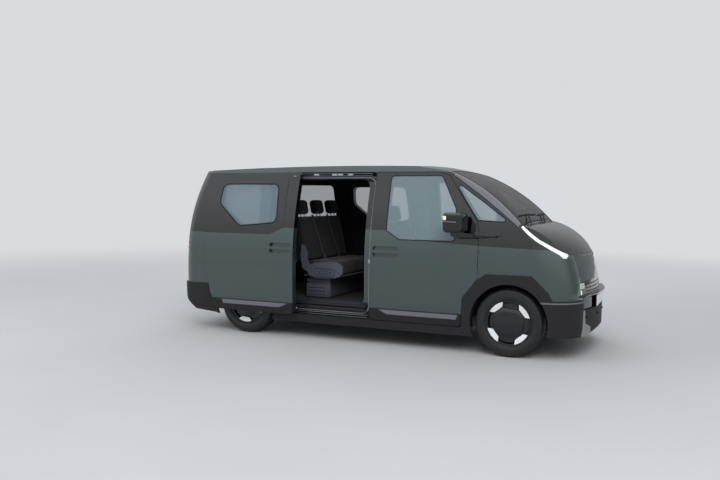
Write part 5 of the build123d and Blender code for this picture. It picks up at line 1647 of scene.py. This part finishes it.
class VAN_OT_fit_underside(bpy.types.Operator):
    """Fit the underside: ribs and bolts of the battery tray, and the coil springs."""

    bl_idname = "van.fit_underside"
    bl_label = "Fit underside"

    def execute(self, context):
        cast = metal_material("PressedTraySteel", linear("#7b7d80"), 0.5)
        steel = metal_material("SpringSteel", linear("#26272a"), 0.5)

        def ribs(work):
            """Ribs pressed in the tray and the bolts round it."""
            for i in range(7):
                y = -0.48 + 0.16 * i
                rounded_block(work, (-0.86, y - 0.018, 0.159), (0.98, y + 0.018, 0.167), 0.004, 2)
            for i in range(14):
                x = -0.90 + 0.146 * i
                for y in (-0.585, 0.585):
                    low, high = (x - 0.010, y - 0.010, 0.157), (x + 0.010, y + 0.010, 0.167)
                    rounded_block(work, low, high, 0.004, 2)

        fill_piece("tray_ribs", ribs, cast, "body")

        def springs(work):
            """Coil springs at the front towers."""
            section = [(SPRING_WIRE * cos(tau * k / 8), SPRING_WIRE * sin(tau * k / 8)) for k in range(8)]
            angles = [tau * SPRING_TURNS * i / SPRING_STEPS for i in range(SPRING_STEPS + 1)]
            normals = [Vector((cos(angle), sin(angle), 0)) for angle in angles]
            for side in (-1, 1):
                path = [
                    Vector((SPRING_X, side * SPRING_Y, SPRING_Z + SPRING_HEIGHT * i / SPRING_STEPS))
                    + normal * SPRING_RADIUS for i, normal in enumerate(normals)
                ]
                sweep(work, path, normals, section, False)

        fill_piece("coil_springs", springs, steel, "body")
        return {"FINISHED"}


# Brightness of the pale backdrop as the camera sees it, and from where to where the floor runs into it
BACKDROP = 0.85
FADE = (3.6, 17.0)


class VAN_OT_set_stage(bpy.types.Operator):
    """Set up the floor, the lamps, the sky and the camera."""

    bl_idname = "van.set_stage"
    bl_label = "Set stage"

    def execute(self, context):
        studio = settings("van_studio")
        scene = context.scene
        bpy.ops.mesh.primitive_plane_add(size=120)
        floor = context.object
        floor.name = "studio_floor"
        floor.data.materials.append(self.floor_material(studio))
        self.light_sky(scene, studio)
        for name, spot, size, power in (
            ("key_lamp", (4.0, -7.5, 6.5), 5.0, 420),
            ("fill_lamp", (-6.5, -6.0, 5.0), 5.0, 220),
            ("back_lamp", (-2.0, 7.5, 6.0), 6.0, 260),
        ):
            data = bpy.data.lights.new(name, "AREA")
            data.size = size
            data.energy = power
            lamp = bpy.data.objects.new(name, data)
            lamp.location = spot
            lamp.visible_glossy = False
            lamp.rotation_euler = (Vector((0, 0, 0.8)) - Vector(spot)).to_track_quat("-Z", "Y").to_euler()
            scene.collection.objects.link(lamp)
        self.place_camera(scene, studio)
        scene.view_settings.view_transform = "Standard"
        return {"FINISHED"}

    def floor_material(self, studio):
        """Matt painted boards, which run out into the pale backdrop where the camera sees far."""
        material, tree, place = new_material("PaintedStudioFloor")
        cloud = add_node(tree, "TexNoise", grain_of(place, 1.4, 5.0))
        boards = add_node(tree, "BsdfPrincipled", {
            "Base Color": add_node(tree, "Mix", shades(cloud, studio.floor, 0.94, 1.04), data_type="RGBA"),
            "Roughness": 0.75,
        })
        away = add_node(tree, "VectorMath", (place,), operation="LENGTH")
        faded = add_node(
            tree, "MapRange", {"Value": away, "From Min": FADE[0], "From Max": FADE[1]},
            interpolation_type="SMOOTHSTEP"
        )
        seen = self.seen_ray(tree, "Is Camera Ray", "Is Glossy Ray", "Is Transmission Ray")
        glow = add_node(tree, "Emission", {"Color": studio.sky, "Strength": BACKDROP})
        share = add_node(tree, "Math", (faded, seen), operation="MULTIPLY")
        show(tree, add_node(tree, "MixShader", (share, boards, glow)))
        return material

    def seen_ray(self, tree, *kinds):
        """Whether a ray is of one of some kinds."""
        path = add_node(tree, "LightPath").outputs
        seen = path[kinds[0]]
        for kind in kinds[1:]:
            seen = add_node(tree, "Math", (seen, path[kind]), operation="MAXIMUM")
        return seen

    def light_sky(self, scene, studio):
        """Pale light all round, brighter overhead in what gloss shows, and even where the camera sees it."""
        world = bpy.data.worlds.new("StudioSky")
        scene.world = world
        world.use_nodes = True
        tree = world.node_tree
        tree.nodes.clear()
        up = add_node(tree, "TexCoord").outputs["Generated"]
        _, across, height = add_node(tree, "SeparateXYZ", (up,)).outputs
        rise, mirrored, zenith, dimmed = (
            add_node(tree, "MapRange", dict(zip(("Value", "From Min", "From Max", "To Min", "To Max"), ramp)))
            for ramp in (
                (height, -0.1, 0.7, 0.50, 0.92),
                (height, 0.0, 0.45, 0.80, 1.5),
                (height, 0.75, 0.97, 0.0, 2.2),
                (across, -0.1, 0.45, 1.0, 0.35),
            )
        )
        mirrored = add_node(tree, "Math", (mirrored, zenith), operation="ADD")
        mirrored = add_node(tree, "Math", (mirrored, dimmed), operation="MULTIPLY")
        glossy = self.seen_ray(tree, "Is Glossy Ray")
        lit = add_node(tree, "Mix", {"Factor": glossy, VALUE_A: rise, VALUE_B: mirrored}, data_type="FLOAT")
        seen = self.seen_ray(tree, "Is Camera Ray", "Is Transmission Ray")
        strength = add_node(tree, "Mix", {"Factor": seen, VALUE_A: lit, VALUE_B: BACKDROP}, data_type="FLOAT")
        back = add_node(tree, "Background", {"Color": studio.sky, "Strength": strength})
        add_node(tree, "OutputWorld", {"Surface": back})

    def place_camera(self, scene, studio):
        """Stand the camera at the photograph's viewpoint."""
        data = bpy.data.cameras.new("photo_camera")
        data.sensor_width = 36
        data.lens = studio.lens
        camera = bpy.data.objects.new("photo_camera", data)
        scene.collection.objects.link(camera)
        turned = (
            Matrix.Rotation(studio.heading, 4, "Z")
            @ Matrix.Rotation(pi / 2 + studio.tilt, 4, "X")
            @ Matrix.Rotation(studio.roll, 4, "Z")
        )
        camera.matrix_world = Matrix.Translation(studio.camera_place) @ turned
        scene.camera = camera


class VAN_PT_dressing(bpy.types.Panel):
    """The van's settings and the pieces that they make."""

    bl_label = "Electric van"
    bl_idname = "VAN_PT_dressing"
    bl_space_type = "VIEW_3D"
    bl_region_type = "UI"
    bl_category = "Van"

    def draw(self, context):
        for operator in PIECES:
            self.layout.operator(operator.bl_idname)
        for group, kind in GROUPS.items():
            column = self.layout.column()
            for name in kind.__annotations__:
                column.prop(getattr(context.scene, group), name)


PIECES = (
    VAN_OT_finish_body, VAN_OT_make_tyres, VAN_OT_make_wheel_faces, VAN_OT_make_seats, VAN_OT_seal_windows,
    VAN_OT_fit_doorway, VAN_OT_fit_nose, VAN_OT_fit_mirrors, VAN_OT_fit_tail, VAN_OT_fit_cabin,
    VAN_OT_fit_underside, VAN_OT_set_stage,
)
GROUPS = {
    "van_finishes": VanFinishes,
    "van_tyres": VanTyres,
    "van_seats": VanSeats,
    "van_studio": VanStudio,
}


def register():
    """Make the settings, the operators and the panel known."""
    for kind in (*GROUPS.values(), *PIECES, VAN_PT_dressing):
        bpy.utils.register_class(kind)
    for group, kind in GROUPS.items():
        setattr(bpy.types.Scene, group, bpy.props.PointerProperty(type=kind))


def unregister():
    """Take them away again."""
    for group in GROUPS:
        delattr(bpy.types.Scene, group)
    for kind in reversed((*GROUPS.values(), *PIECES, VAN_PT_dressing)):
        bpy.utils.unregister_class(kind)


def main():
    """Dress the van."""
    register()
    for piece in PIECES:
        family, name = piece.bl_idname.split(".")
        getattr(getattr(bpy.ops, family), name)()


if __name__ == "__main__":
    main()
